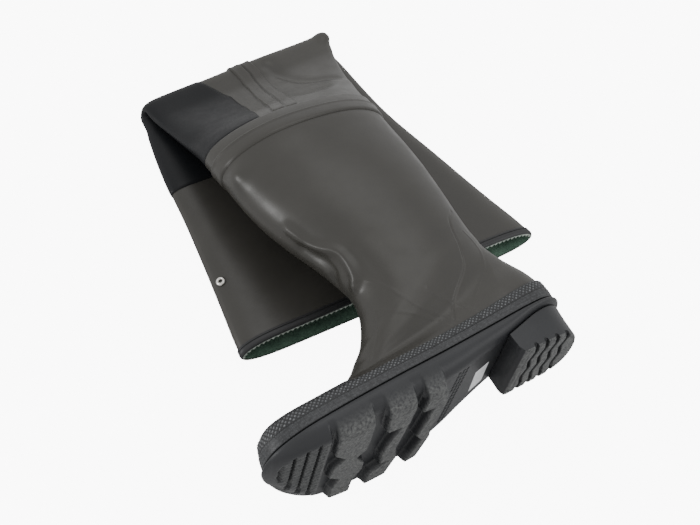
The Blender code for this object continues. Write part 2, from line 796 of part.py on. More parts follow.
def build_eyelet(mat):
    """Rolled metal ring by the front edge of the thigh."""
    v = v_at_y(232.0, V_THIGH, V_COLLAR)
    u = u_at_x(v, -226.0, inner_side=False)
    base, normal, along = frame_at(v, u)
    side = np.cross(normal, along)
    bm = bmesh.new()
    ring_profile = ((2.0, GAP), (2.0, GAP + 0.9), (3.2, GAP + 1.5), (4.2, GAP + 0.9), (EYELET_RADIUS, GAP))
    loops = []
    for radius, height in ring_profile:
        points = []
        for k in range(20):
            angle = 2 * math.pi * k / 20
            points.append(base + (along * math.cos(angle) + side * math.sin(angle)) * radius
                          + normal * (height + 0.5))
        loops.append(add_points(bm, points))
    for k, loop in enumerate(loops):
        bridge(bm, loop, loops[(k + 1) % len(loops)])
    return piece("eyelet", bm, mat)


def build_label(mat):
    """Thin blank sheet on the sole's waist."""
    corners = ((-99.0, 89.5), (-84.5, 94.0), (-81.5, 54.0), (-96.0, 47.0))

    def under(x):
        return under_height(x) - GAP - 0.5

    def top(x):
        return under_height(x) - GAP

    bm = prism(corners, under, top)
    return piece("label", bm, mat)


def settle(objects):
    """Moves the wader so that its footprint's middle is the origin."""
    low = np.full(3, np.inf)
    high = np.full(3, -np.inf)
    for obj in objects:
        for vert in obj.data.vertices:
            low = np.minimum(low, vert.co)
            high = np.maximum(high, vert.co)
    shift = np.array([-(low[0] + high[0]) / 2, -(low[1] + high[1]) / 2, -low[2]])
    for obj in objects:
        for vert in obj.data.vertices:
            vert.co = [vert.co[k] + shift[k] for k in range(3)]
        obj.data.update()
    print("moved by", [round(float(s) * 1000, 3) for s in shift], "mm")
    print("size", [round(float(s) * 1000, 1) for s in high - low], "mm")
    return shift


def main():
    for obj in list(bpy.data.objects):
        bpy.data.objects.remove(obj, do_unlink=True)
    olive = material("olive rubber", (0.085, 0.078, 0.066), 0.42)
    black = material("black rubber", (0.022, 0.022, 0.024), 0.6)
    grey_black = material("moulded sole rubber", (0.045, 0.046, 0.049), 0.55)
    cloth = material("insole cloth", (0.05, 0.09, 0.065), 0.9)
    metal = material("eyelet metal", (0.75, 0.74, 0.70), 0.3, 1.0)
    white = material("white sheet", (0.8, 0.8, 0.8), 0.5)
    objects = [build_upper(olive), build_foxing(black), build_toe_cap(black)]
    band, band_top = build_joint_band(olive)
    objects.append(band)
    objects.append(build_knee_patch(black, band_top))
    objects.append(build_side_tape(olive, band_top))
    objects.append(build_binding(black))
    objects.append(build_outsole(grey_black))
    objects.append(build_heel(grey_black))
    objects.append(build_insole(cloth))
    objects.append(build_eyelet(metal))
    objects.append(build_label(white))
    settle(objects)
    for obj in objects:
        obj.data.calc_loop_triangles()
        print(obj.name, len(obj.data.loop_triangles), "triangles")
    return objects


if __name__ == "__main__":
    main()
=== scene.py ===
# %% [markdown]
# # A hip wader, folded at the knee and lying on its side
# A hip wader is a rubber boot with a long slack thigh tube.  This one lies on its side with the
# thigh folded under.  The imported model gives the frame: every piece made here is placed in that
# frame, stands for one of its nodes, and adds what plain solids leave out.

# %% Load the frame
import math

import bmesh
import bpy
import numpy as np
from mathutils import Matrix, Vector


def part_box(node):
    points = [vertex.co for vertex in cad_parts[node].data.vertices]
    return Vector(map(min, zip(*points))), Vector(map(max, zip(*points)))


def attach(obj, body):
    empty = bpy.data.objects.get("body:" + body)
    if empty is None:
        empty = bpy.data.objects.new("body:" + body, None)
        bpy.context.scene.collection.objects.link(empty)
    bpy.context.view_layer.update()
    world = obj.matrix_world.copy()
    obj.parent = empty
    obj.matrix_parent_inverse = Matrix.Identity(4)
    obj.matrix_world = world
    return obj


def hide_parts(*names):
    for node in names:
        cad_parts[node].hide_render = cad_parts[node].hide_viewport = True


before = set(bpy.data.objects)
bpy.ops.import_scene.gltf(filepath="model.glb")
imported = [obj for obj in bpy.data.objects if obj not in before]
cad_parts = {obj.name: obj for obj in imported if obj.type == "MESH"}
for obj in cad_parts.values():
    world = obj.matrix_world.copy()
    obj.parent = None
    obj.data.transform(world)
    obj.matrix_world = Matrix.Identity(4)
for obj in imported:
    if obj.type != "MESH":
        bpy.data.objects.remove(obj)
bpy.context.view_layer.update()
print("nodes", sorted(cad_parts))

# %% [markdown]
# ## The leg as one surface
# The real leg is dipped or laid up over a last, so it is one smooth skin.  A skin like that is
# easiest to rebuild from sections: each row of a table is one loop round the leg, and a smooth
# curve runs through the rows.  The first table is the sole's rim seen from below, because the
# foot's lowest loops follow it.  All sizes are in millimetres; -X is the toe, +Y up the leg.

# %% Tables of the foot, leg and thigh
DENSE = 1440
OUTLINE = (
    (4, 91), (-1, 111), (-17, 125.5), (-42, 130), (-80, 130), (-130, 131), (-185, 134), (-240, 134),
    (-276, 130), (-300, 118), (-310, 98), (-308, 80), (-300, 63), (-286, 40), (-262, 14), (-232, 1.5),
    (-195, 0), (-155, 6), (-122, 19), (-98, 36), (-76, 48), (-45, 53), (-17, 58), (-0.5, 71),
)
# Columns: back_x, front_x, back_y, front_y, bow, mid_back, mid_front, half thickness, inset, roundness.
FOOT = (
    (-0.8, -305.0, 41.8, 17.8, 0, 91, 82, 34, 5.0, 0.0),
    (0.2, -302.5, 52, 29, -3, 91, 82, 34, 7.0, 0.0),
    (-0.6, -298.0, 63, 39.5, -6, 91, 82, 34, 10.5, 0.0),
    (-2.4, -290, 71, 43.5, -7.5, 91, 82, 34, 16.5, 0.05),
    (-5.5, -277, 80, 46.5, -9.5, 91, 82, 34, 23.5, 0.14),
    (-9.5, -258, 89, 48.5, -10, 91, 82, 33.5, 30.0, 0.30),
    (-13, -236, 97.5, 50, -8.5, 91, 82, 33.5, 32.0, 0.50),
    (-16, -216, 107, 53, -5.5, 91, 82, 34, 25.0, 0.72),
    (-18.2, -201, 116, 59.5, -2, 90.5, 83.5, 35.5, 13.0, 0.90),
    (-19.6, -189, 124, 71, 0, 90, 86, 36.5, 8.0, 1.0),
    (-20.5, -177, 133, 82, 0, 90, 87, 37, 8.0, 1.0),
    (-21, -166.5, 143, 97, 0, 89, 88, 37.5, 8.0, 1.0),
    (-21, -159, 154, 113, 0, 88.5, 88.5, 38.5, 8.0, 1.0),
)
# Columns: back_x, front_x, back_y, front_y, low, high, squareness.
LEG = (
    (-20.8, -156, 168, 131, 49, 128, 2.1),
    (-19, -160, 185, 153, 45.5, 128.5, 2.1),
    (-17, -168, 206, 179, 42, 129, 2.15),
    (-15, -178.5, 230, 209, 38, 129, 2.2),
    (-14.5, -187, 256, 243, 34, 128, 2.2),
    (-15, -191.5, 280, 277, 30.5, 125.5, 2.2),
    (-14.5, -193, 302, 306, 28, 122, 2.2),
    (-11, -192.5, 325, 330, 25.5, 111, 2.3),
    (-5, -190.5, 351, 350, 23, 93, 2.5),
    (3, -189.5, 376, 369, 21.2, 72, 2.8),
    (9, -190.5, 399, 390, 20.2, 54, 3.4),
    (15, -192, 421, 408, 19.4, 41, 4.2),
    (21, -194.5, 440, 424, 18.6, 32.6, 5.0),
    (26, -197, 455, 437, 18.0, 30.2, 6.0),
)
# Columns: those of the leg, and the turn of the section in degrees.
THIGH = (
    (32, -202.5, 454, 436, 1.5, 13.5, 6.0, 180),
    (34, -205.5, 436, 424, 1.6, 13.7, 6.0, 180),
    (36.5, -211, 400, 395, 1.7, 15.2, 5.5, 180),
    (42, -217, 357, 356, 1.3, 17.5, 5.0, 180),
    (52.5, -222.5, 308, 308, 0.0, 20.5, 4.6, 180),
    (64, -229.5, 258, 258, 0.0, 23.5, 4.4, 180),
    (75.5, -237, 213, 213, 0.4, 26.0, 4.2, 182),
    (84.5, -243, 176, 176, 1.5, 28.0, 4.2, 187),
    (88.5, -245.5, 153.5, 153.5, 1.8, 28.6, 4.2, 189),
)
FOLD_STEPS = 5
FOLD_RADIUS = 8.25
FOLD_HALF_THICK = 6.0
FOLD_Z = 15.6
FOLD_BACK_Y = 466.0
FOLD_FRONT_Y = 446.0
FOLD_WIDENS_BACK = 5.0
FOLD_WIDENS_FRONT = 5.5
FOLD_SQUARE = 6.0
FOOT_SQUARE = 2.1
FREE_INSET = 8.0
SEAT_INSET = 5.0
MM = 0.001
print("sections", len(FOOT), len(LEG), len(THIGH))

# %% [markdown]
# ## Curves through the tables
# A table has few rows and the skin needs many.  A curve that passes through every row keeps the
# measured places exact, which a fitted average would not.  Points at even distances along it keep
# the faces of the mesh about equal.


# %% Smooth curves through table rows
def spline(rows, t):
    """Smooth curve through table rows, t counted in rows."""
    rows = np.asarray(rows, dtype=float)
    last = len(rows) - 1
    i = int(min(max(math.floor(t), 0), last - 1))
    f = t - i
    before = rows[i - 1] if i > 0 else 2 * rows[i] - rows[i + 1]
    after = rows[i + 2] if i + 2 <= last else 2 * rows[i + 1] - rows[i]
    a, b = rows[i], rows[i + 1]
    return 0.5 * (2 * a + (b - before) * f + (2 * before - 5 * a + 4 * b - after) * f**2
                  + (3 * a - before - 3 * b + after) * f**3)


def walked(points):
    """Distance along a run at each of its points."""
    return np.concatenate([[0], np.cumsum(np.linalg.norm(np.diff(points, axis=0), axis=1))])


def at_even_steps(closed, count):
    """Flat points at even distances along a closed run whose last point repeats the first."""
    walk = walked(closed)
    at = np.linspace(0, walk[-1], count, endpoint=False)
    return np.stack([np.interp(at, walk, closed[:, k]) for k in range(2)], axis=1)


def closed_spline(rows, count):
    """Smooth closed loop through table rows, at even distances along it."""
    rows = np.asarray(rows, dtype=float)
    padded = np.vstack([rows[-1:], rows, rows[:2]])
    fine = [spline(padded, i + 1 + f) for i in range(len(rows)) for f in np.linspace(0, 1, 60, endpoint=False)]
    return at_even_steps(np.array(fine + [fine[0]]), count)


RIM = closed_spline(OUTLINE, DENSE)
print("rim length", round(float(walked(RIM)[-1])), "mm")

# %% [markdown]
# ## Loops round the leg
# Low on the foot a loop is the sole's rim, and from the ankle up it is an oval that turns into a
# flat tube with round ends, as slack rubber lies.  One function blends the three, so the skin has
# no joint where the real one has none.  A place on the skin is then a share round the loop (u) and
# a section number (v), and every seam and line can be given in those two numbers.


# %% Loops of the foot and leg
def inset_rim(distance):
    """The sole's rim set in by a distance, or by one distance for each point."""
    distance = np.broadcast_to(np.asarray(distance, dtype=float), (DENSE,))[:, None]
    step = np.roll(RIM, -8, axis=0) - np.roll(RIM, 8, axis=0)
    step /= np.linalg.norm(step, axis=1)[:, None]
    inward = np.stack([step[:, 1], -step[:, 0]], axis=1)
    if np.sum(inward * (RIM.mean(axis=0) - RIM)) < 0:
        inward = -inward
    return RIM + inward * distance


def stadium(half_long, half_thick, square):
    """Loop with rounded ends: an oval while round, a slack flat tube when thin."""
    angle = np.linspace(0, 2 * np.pi, 4 * DENSE, endpoint=False)
    c, s = np.cos(angle), np.sin(angle)
    end = min(half_thick, half_long)
    blend = min(max((square - 2.2) / 2.8, 0.0), 1.0)
    a = np.sign(c) * np.abs(c) ** (2 / square) * half_long
    b = np.sign(c) * np.abs(c) ** 0.08 * (half_long - end) + end * c
    return (1 - blend) * a + blend * b, half_thick * s


def tube_row(ends, low, high, square, turn=0.0):
    """Section of the free tube between two heights."""
    middle = (low + high) / 2
    return [*ends, 0, middle, middle, (high - low) / 2, FREE_INSET, 1.0, square, turn]


def table_rows():
    """All sections in order: foot, leg, fold and thigh."""
    rows = [[*row, FOOT_SQUARE, 0.0] for row in FOOT]
    rows += [tube_row(row[:4], *row[4:]) for row in LEG]
    back_x, front_x = LEG[-1][:2]
    for k in range(1, FOLD_STEPS + 1):
        share = k / (FOLD_STEPS + 1)
        reach = FOLD_RADIUS * math.sin(math.pi * share)
        middle = FOLD_Z + FOLD_RADIUS * math.cos(math.pi * share)
        ends = (back_x + FOLD_WIDENS_BACK * share, front_x - FOLD_WIDENS_FRONT * share, FOLD_BACK_Y + reach,
                FOLD_FRONT_Y + reach)
        rows.append([*ends, 0, middle, middle, FOLD_HALF_THICK, FREE_INSET, 1.0, FOLD_SQUARE, 180 * share])
    rows += [tube_row(row[:4], *row[4:]) for row in THIGH]
    return np.array(rows, dtype=float)


SECTIONS = table_rows()
V_LEG = float(len(FOOT))
V_FOLD = float(len(FOOT) + len(LEG) - 1)
V_THIGH = float(len(FOOT) + len(LEG) + FOLD_STEPS)
V_COLLAR = float(len(SECTIONS) - 1)
EVEN_BY_LENGTH = 0.62
PROBE_U = 0.004
PROBE_V = 0.06
RINGS = {}


def ring(v):
    """Dense loop of the outer surface at section v, from the back round the inner side."""
    key = round(float(v), 5)
    if key in RINGS:
        return RINGS[key]
    (back_x, front_x, back_y, front_y, bow, mid_back, mid_front, half, inset, round_share, square,
     turn) = spline(SECTIONS, key)
    half_long = (back_x - front_x) / 2
    x_oval, z_oval = stadium(half_long, half, square)
    step_x, step_z = np.diff(x_oval, append=x_oval[0]), np.diff(z_oval, append=z_oval[0])
    step = np.hypot(step_x, step_z)
    heading = np.arctan2(step_z, step_x)
    bend = np.abs((np.diff(heading, append=heading[0]) + np.pi) % (2 * np.pi) - np.pi)
    spread = EVEN_BY_LENGTH * step / step.sum() + (1 - EVEN_BY_LENGTH) * bend / bend.sum()
    walk = np.concatenate([[0], np.cumsum(spread)])
    even = np.linspace(0, walk[-1], DENSE, endpoint=False)
    x_loop = np.interp(even, walk, np.append(x_oval, x_oval[0]))
    w_loop = np.interp(even, walk, np.append(z_oval, z_oval[0]))
    share = x_loop / half_long
    if round_share < 0.999:
        toward_toe = (RIM[:, 0].max() - RIM[:, 0]) / (RIM[:, 0].max() - RIM[:, 0].min())
        sole = inset_rim(SEAT_INSET + (inset - SEAT_INSET) * np.clip(toward_toe * 1.5 - 0.25, 0, 1))
        sole_share = 1 - 2 * (sole[:, 0].max() - sole[:, 0]) / (sole[:, 0].max() - sole[:, 0].min())
        middle = mid_front + (mid_back - mid_front) * (sole_share + 1) / 2
        share = sole_share * (1 - round_share) + share * round_share
        w_loop = (sole[:, 1] - middle) * (1 - round_share) + w_loop * round_share
    x = (back_x + front_x) / 2 + half_long * share
    y = (back_y + front_y) / 2 + (back_y - front_y) / 2 * share + bow * (1 - share**2)
    z = mid_front + (mid_back - mid_front) * (share + 1) / 2
    angle = math.radians(turn)
    RINGS[key] = np.stack([x, y + w_loop * math.sin(angle), z + w_loop * math.cos(angle)], axis=1)
    return RINGS[key]


def grid(us, vs):
    """Points of the plain outer surface: one row of shares us for each section in vs."""
    us = np.asarray(us, dtype=float)
    rows = []
    for k, v in enumerate(vs):
        loop = ring(v)
        at = np.mod(us[k] if us.ndim == 2 else us, 1.0) * DENSE
        low = np.floor(at).astype(int) % DENSE
        part = (at - np.floor(at))[:, None]
        rows.append(loop[low] * (1 - part) + loop[(low + 1) % DENSE] * part)
    return np.array(rows)


def grid_normals(us, vs):
    """Outward unit normals of the plain surface at the same places."""
    us = np.asarray(us, dtype=float)
    vs = np.asarray(vs, dtype=float)
    high, low = np.minimum(vs + PROBE_V, V_COLLAR), np.maximum(vs - PROBE_V, 0.0)
    along = grid(us, high) - grid(us, low)
    around = grid(us + PROBE_U, vs) - grid(us - PROBE_U, vs)
    normal = np.cross(along, around)
    return normal / np.linalg.norm(normal, axis=2)[..., None]


def lifted(us, vs, offset):
    """Points at a distance outside the plain surface."""
    return grid(us, vs) + grid_normals(us, vs) * np.asarray(offset)[..., None]


whole = grid(np.arange(36) / 36, np.arange(0, V_COLLAR + 0.5))
upper_low = np.array(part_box("upper")[0]) / MM
SHIFT = upper_low - whole.reshape(-1, 3).min(axis=0)
print("frame shift", [round(float(s), 3) for s in SHIFT], "mm")

# %% [markdown]
# ## Folds, buckles and moulded lines
# Slack rubber shows soft folds, and the boot's mould leaves thin raised lines round the ankle and
# heel.  Each is a short run of points on the surface with a height and a width: the skin rises or
# sinks by a bell curve of the distance to the run.  Laying them out one by one keeps each fold where
# the photo has it.

# %% Runs of folds and lines
LINES = {
    "ankle_arc": ((-154, 138, 101), (-147, 131, 109), (-141, 121, 115), (-136, 108, 119), (-132, 96, 121),
                  (-125, 81, 122), (-111, 67, 118), (-101, 51, 123)),
    "instep_line": ((-159, 106, 101), (-150, 93, 115), (-144, 86, 119), (-136, 80, 121), (-117, 65, 117),
                    (-111, 52, 123)),
    "vamp_arc": ((-156, 98, 109), (-162, 86, 112), (-168, 76, 111), (-176, 68, 110), (-186, 59, 109)),
    "heel_front": ((-35, 160, 113), (-47, 148, 119), (-54, 123, 120), (-61, 104, 119), (-68, 95, 120),
                   (-86, 80, 119), (-96, 69, 118), (-105, 55, 122)),
    "heel_back": ((-37, 136, 113), (-34, 116, 110), (-42, 97, 115), (-51, 87, 117), (-67, 74, 119),
                  (-80, 61, 122)),
    "heel_cross": ((-109, 93, 124), (-103, 81, 121), (-93, 72, 118), (-81, 54, 124)),
    "buckle": ((-175, 213, 98), (-172, 202, 99), (-168, 191, 99), (-161, 179, 103), (-155, 170, 108),
               (-151, 162, 109), (-150, 151, 108), (-151, 139, 105), (-153, 133, 100)),
    "buckle_right": ((-145, 157, 113), (-141, 145, 114), (-140, 132, 114), (-137, 116, 118)),
    "buckle_hollow": ((-171, 191, 92), (-167, 180, 93), (-164, 172, 95), (-162, 164, 95), (-160, 157, 92),
                      (-159, 152, 83)),
    "calf_fold": ((-123, 161, 124), (-112, 123, 125), (-98, 92, 123)),
    "vamp_crease": ((-170, 79, 108), (-177, 66, 110), (-189, 54, 111), (-202, 46, 120)),
    "top_arc": ((-55, 452, 30), (-50, 427, 36), (-38, 401, 51), (-11, 390, 55)),
    "top_arc_low": ((-82, 403, 49), (-80, 355, 89), (-43, 358, 83), (-6, 381, 57)),
}
# Columns: line, height, width.
RELIEF = (
    ("ankle_arc", 0.35, 1.1),
    ("instep_line", 0.3, 1.1),
    ("vamp_arc", 0.3, 1.2),
    ("heel_front", -0.6, 0.95),
    ("heel_back", 0.3, 1.2),
    ("heel_cross", 0.35, 1.1),
    ("buckle", 3.8, 5.2),
    ("buckle_right", -0.7, 5.5),
    ("buckle_hollow", -3.2, 6.0),
    ("calf_fold", -0.35, 9.0),
    ("vamp_crease", -0.8, 5.0),
    ("top_arc", -2.0, 7.0),
    ("top_arc_low", 0.8, 9.0),
)
# Columns: x, y, z, height, width.
BUMPS = (
    (-186, 286, 94, 4.2, 11.0),
    (-160, 262, 116, -1.4, 20.0),
    (-100, 250, 128, 0.8, 40.0),
    (25, 470, 20, 7.5, 8.5),
    (-196, 56, 96, 2.2, 14.0),
)
SLACK_WAVES = 0.45


def distance_to_run(points, run):
    """Shortest distance from each point to a run of straight pieces."""
    run = np.asarray(run, dtype=float)
    best = np.full(points.shape[:-1], 1e9)
    for a, b in zip(run[:-1], run[1:]):
        span = b - a
        t = np.clip((points - a) @ span / (span @ span), 0, 1)
        best = np.minimum(best, np.linalg.norm(points - a - t[..., None] * span, axis=-1))
    return best


LEG_US, LEG_VS = np.linspace(0, 0.5, 241), np.arange(0.1, V_FOLD, 0.2)
LEG_POINTS = grid(LEG_US, LEG_VS).reshape(-1, 3)
LEG_NORMALS = grid_normals(LEG_US, LEG_VS).reshape(-1, 3)


def on_skin(run):
    """Smooth run through the listed points, moved onto the plain surface."""
    rows = np.asarray(run, dtype=float)
    fine = np.array([spline(rows, t) for t in np.linspace(0, len(rows) - 1, (len(rows) - 1) * 4 + 1)])
    for k, point in enumerate(fine):
        near = int(np.argmin(((LEG_POINTS - point) ** 2).sum(axis=1)))
        fine[k] = point - LEG_NORMALS[near] * ((point - LEG_POINTS[near]) @ LEG_NORMALS[near])
    return fine


RUNS = {name: on_skin(run) for name, run in LINES.items()}


def relief(points):
    """Height in millimetres that folds and moulded lines add to the plain skin."""
    total = np.zeros(points.shape[:-1])
    for name, height, width in RELIEF:
        run = RUNS[name]
        low, high = run.min(axis=0) - 3 * width, run.max(axis=0) + 3 * width
        near = np.all((points > low) & (points < high), axis=-1)
        total[near] += height * np.exp(-(distance_to_run(points[near], run) / width) ** 2)
    for x, y, z, height, width in BUMPS:
        away = np.linalg.norm(points - np.array([x, y, z]), axis=-1)
        total += height * np.exp(-(away / width) ** 2)
    x, y, z = points[..., 0], points[..., 1], points[..., 2]
    slack = np.clip((y - 110) / 60, 0, 1) * np.clip((z - 3) / 6, 0, 1)
    waves = np.sin(x / 31 + y / 47 + 0.6) * np.sin(y / 38 - x / 90 + 1.1)
    return total + SLACK_WAVES * slack * (waves + 0.5 * np.sin(x / 17 - y / 29 + 2.0))


def skin(us, vs, offset=0.0):
    """Points at a distance outside the folded skin."""
    return lifted(us, vs, relief(grid(us, vs)) + offset)


print("runs", len(LINES), "bumps", len(BUMPS))

# %% [markdown]
# ## Places on the leg
# The seams and patches are measured in millimetres along X and Y, while the skin counts in shares
# and section numbers.  These helpers turn the one into the other.  Rows for a mesh are then set at
# even distances, because the sections of the tables lie close at the foot and far apart above.


# %% Helpers that find a place on the leg
def u_at_x(v, wanted, inner_side=True):
    """Share round section v where the loop crosses a place along X."""
    x = ring(v)[:, 0]
    half = DENSE // 2
    rank = np.arange(DENSE)
    part = slice(0, half + 1) if inner_side else slice(half, DENSE)
    order = np.argsort(x[part])
    return float(np.interp(wanted, x[part][order], (rank[part] / DENSE)[order]))


def v_at_y(y, first, last):
    """Section whose middle lies at height y."""
    vs = np.linspace(first, last, 200)
    ys = np.array([ring(v)[:, 1].mean() for v in vs])
    if ys[0] > ys[-1]:
        vs, ys = vs[::-1], ys[::-1]
    return float(np.interp(y, ys, vs))


def even_sections(first, last, spacing):
    """Section numbers whose loops lie about a spacing apart."""
    fine = np.linspace(first, last, int((last - first) * 24) + 2)
    us = np.arange(0, 1, 0.05)
    points = grid(us, fine)
    step = np.linalg.norm(np.diff(points, axis=0), axis=2)
    walk = np.concatenate([[0], np.cumsum(0.5 * step.max(axis=1) + 0.5 * step.mean(axis=1))])
    count = max(int(walk[-1] / spacing), 2)
    return np.interp(np.linspace(0, walk[-1], count + 1), walk, fine)


BAND_Y = (301.0, 333.0)
CALF_Y = 222.0
V_BAND_LOW, V_BAND_HIGH = [v_at_y(y, V_LEG, V_FOLD) for y in BAND_Y]
V_JOINT = (V_BAND_LOW + V_BAND_HIGH) / 2
V_CALF = v_at_y(CALF_Y, V_LEG, V_FOLD)
print("band from section", round(V_BAND_LOW, 2), "to", round(V_BAND_HIGH, 2))

# %% [markdown]
# ## Turning grids into pieces
# A grid of points becomes a mesh by joining each row to the next.  Two skins, one outside and one
# inside, joined along their edges make a closed piece with real thickness, which is better than a
# single sheet: light can't leak through it and its edges look solid.

# %% Mesh helpers
def new_piece(name, points, quads, slots, face_slots=None, sharp=None):
    """Object from points in millimetres and lists of corner numbers."""
    mesh = bpy.data.meshes.new(name)
    placed = (np.asarray(points, dtype=float).reshape(-1, 3) + SHIFT) * MM
    quads = [tuple(int(c) for c in face) for face in quads]
    mesh.from_pydata([tuple(p) for p in placed], [], quads)
    if face_slots is not None:
        mesh.polygons.foreach_set("material_index", np.asarray(face_slots, dtype=np.int32))
    mesh.shade_smooth()
    if sharp is not None:
        mesh.set_sharp_from_angle(angle=math.radians(sharp))
    for material in slots:
        mesh.materials.append(material)
    obj = bpy.data.objects.new(name, mesh)
    bpy.context.scene.collection.objects.link(obj)
    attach(obj, "root")
    return obj


def rows_quads(rows, columns, closed_rows=False, closed_columns=True):
    """Corner numbers of the faces of a grid."""
    r = np.arange(rows if closed_rows else rows - 1)
    c = np.arange(columns if closed_columns else columns - 1)
    r, c = np.meshgrid(r, c, indexing="ij")
    low, high = r * columns, (r + 1) % rows * columns
    c2 = (c + 1) % columns
    return np.stack([low + c, low + c2, high + c2, high + c], axis=-1).reshape(-1, 4)


def tube_piece(name, outer, inner, slots, inner_slot=0):
    """Closed piece round the leg from outer rows and inner rows in the other order."""
    points = np.concatenate([outer, inner[::-1]])
    rows, columns = points.shape[:2]
    quads = rows_quads(rows, columns, closed_rows=True)[:, ::-1]
    face_rows = np.repeat(np.arange(rows), columns)
    return new_piece(name, points, quads, slots, np.where(face_rows >= len(outer), inner_slot, 0))


def sheet_piece(name, outer, inner, slots):
    """Closed piece between two matching grids."""
    rows, columns = outer.shape[:2]
    top = rows_quads(rows, columns, closed_columns=False)
    count = rows * columns
    quads = [tuple(q[::-1]) for q in top] + [tuple(q + count) for q in top]
    edge = ([c for c in range(columns)] + [r * columns + columns - 1 for r in range(1, rows)]
            + [(rows - 1) * columns + c for c in range(columns - 2, -1, -1)]
            + [r * columns for r in range(rows - 2, 0, -1)])
    for a, b in zip(edge, edge[1:] + edge[:1]):
        quads.append((a, b, b + count, a + count))
    points = np.concatenate([outer.reshape(-1, 3), inner.reshape(-1, 3)])
    return new_piece(name, points, quads, slots)


print("mesh helpers ready")

# %% [markdown]
# ## Finishes
# The boot is semi-gloss rubber: broad soft highlights, a faint mottling, and a very fine skin.
# Two shader groups hold the effects that several finishes share.  One gives a cloudy mask and the
# other a fine grain as a normal; each material sets its own scale and strength.

# %% Shared effects as node groups
def group_start(name, inputs, outputs):
    """Empty node group with its sockets."""
    tree = bpy.data.node_groups.new(name, "ShaderNodeTree")
    for label, kind, value in inputs:
        socket = tree.interface.new_socket(name=label, in_out="INPUT", socket_type=kind)
        if value is not None:
            socket.default_value = value
    for label, kind in outputs:
        tree.interface.new_socket(name=label, in_out="OUTPUT", socket_type=kind)
    return tree, tree.nodes.new("NodeGroupInput"), tree.nodes.new("NodeGroupOutput")


def placed_noise(tree, source, detail):
    """Noise over the object's own place, with its scale from the group's input."""
    place = tree.nodes.new("ShaderNodeTexCoord")
    noise = tree.nodes.new("ShaderNodeTexNoise")
    noise.inputs["Detail"].default_value = detail
    tree.links.new(place.outputs["Object"], noise.inputs["Vector"])
    tree.links.new(source.outputs["Scale"], noise.inputs["Scale"])
    return noise


def cloudy_group():
    """Mask of clouds, 0 to 1: soft between far limits, and sharp as dust between close ones."""
    tree, source, sink = group_start(
        "cloudy mask",
        (("Scale", "NodeSocketFloat", 20.0), ("Low", "NodeSocketFloat", 0.3), ("High", "NodeSocketFloat", 0.7)),
        (("Mask", "NodeSocketFloat"),))
    noise = placed_noise(tree, source, 5.0)
    noise.inputs["Roughness"].default_value = 0.6
    spread = tree.nodes.new("ShaderNodeMapRange")
    tree.links.new(noise.outputs["Fac"], spread.inputs["Value"])
    tree.links.new(source.outputs["Low"], spread.inputs["From Min"])
    tree.links.new(source.outputs["High"], spread.inputs["From Max"])
    tree.links.new(spread.outputs["Result"], sink.inputs["Mask"])
    return tree


def grain_group():
    """Fine bumps of rubber or cloth as a normal, over another normal."""
    tree, source, sink = group_start(
        "fine grain",
        (("Scale", "NodeSocketFloat", 900.0), ("Strength", "NodeSocketFloat", 0.1),
         ("Depth", "NodeSocketFloat", 0.0004), ("Normal", "NodeSocketVector", None)),
        (("Normal", "NodeSocketVector"),))
    noise = placed_noise(tree, source, 3.0)
    bump = tree.nodes.new("ShaderNodeBump")
    tree.links.new(noise.outputs["Fac"], bump.inputs["Height"])
    for given, used in (("Strength", "Strength"), ("Depth", "Distance"), ("Normal", "Normal")):
        tree.links.new(source.outputs[given], bump.inputs[used])
    tree.links.new(bump.outputs["Normal"], sink.inputs["Normal"])
    return tree


CLOUDY = cloudy_group()
GRAIN = grain_group()
print("groups", [g.name for g in bpy.data.node_groups])

# %% [markdown]
# ## Rubber
# The leg, the tapes and the patch are the same kind of rubber in different tones.  One builder
# makes them all: large clouds change the colour a little, smaller ones the gloss, and a grain that
# is felt more than seen breaks the highlights.


# %% One builder for the rubber finishes
def add_group(tree, group, **values):
    """Shared effect set to its own values."""
    node = tree.nodes.new("ShaderNodeGroup")
    node.node_tree = group
    for label, value in values.items():
        node.inputs[label].default_value = value
    return node


def mixed_color(tree, mask, dark, light):
    """Colour that a mask leads from one to the other; each is three numbers or a socket."""
    mix = tree.nodes.new("ShaderNodeMix")
    mix.data_type = "RGBA"
    for color, label in ((dark, "A"), (light, "B")):
        if isinstance(color, tuple):
            mix.inputs[label].default_value = (*color, 1.0)
        else:
            tree.links.new(color, mix.inputs[label])
    tree.links.new(mask, mix.inputs["Factor"])
    return mix.outputs["Result"]


def mixed_value(tree, mask, low, high):
    """Number that a mask leads from low to high."""
    spread = tree.nodes.new("ShaderNodeMapRange")
    spread.inputs["To Min"].default_value = low
    spread.inputs["To Max"].default_value = high
    tree.links.new(mask, spread.inputs["Value"])
    return spread.outputs["Result"]


def start_material(name, roughness, **fixed):
    """Material with the values that are the same all over set on its shader."""
    material = bpy.data.materials.new(name)
    material.use_nodes = True
    tree = material.node_tree
    shader = tree.nodes["Principled BSDF"]
    shader.inputs["Roughness"].default_value = roughness
    for label, value in fixed.items():
        shader.inputs[label.replace("_", " ")].default_value = value
    return material, tree, shader


RUBBER_SHINE = 0.36


def rubber(name, dark, light, rough, level=RUBBER_SHINE):
    """Rubber with cloudy colour, cloudy gloss and a fine skin."""
    material, tree, shader = start_material(name, rough[1], Specular_IOR_Level=level)
    clouds = add_group(tree, CLOUDY, Scale=14.0, Low=0.32, High=0.72)
    patches = add_group(tree, CLOUDY, Scale=63.0, Low=0.3, High=0.75)
    tree.links.new(mixed_color(tree, clouds.outputs["Mask"], dark, light), shader.inputs["Base Color"])
    tree.links.new(mixed_value(tree, patches.outputs["Mask"], *rough), shader.inputs["Roughness"])
    fine = add_group(tree, GRAIN, Scale=1400.0, Strength=0.12, Depth=0.0003)
    tree.links.new(fine.outputs["Normal"], shader.inputs["Normal"])
    material.diffuse_color = (*light, 1.0)
    return material


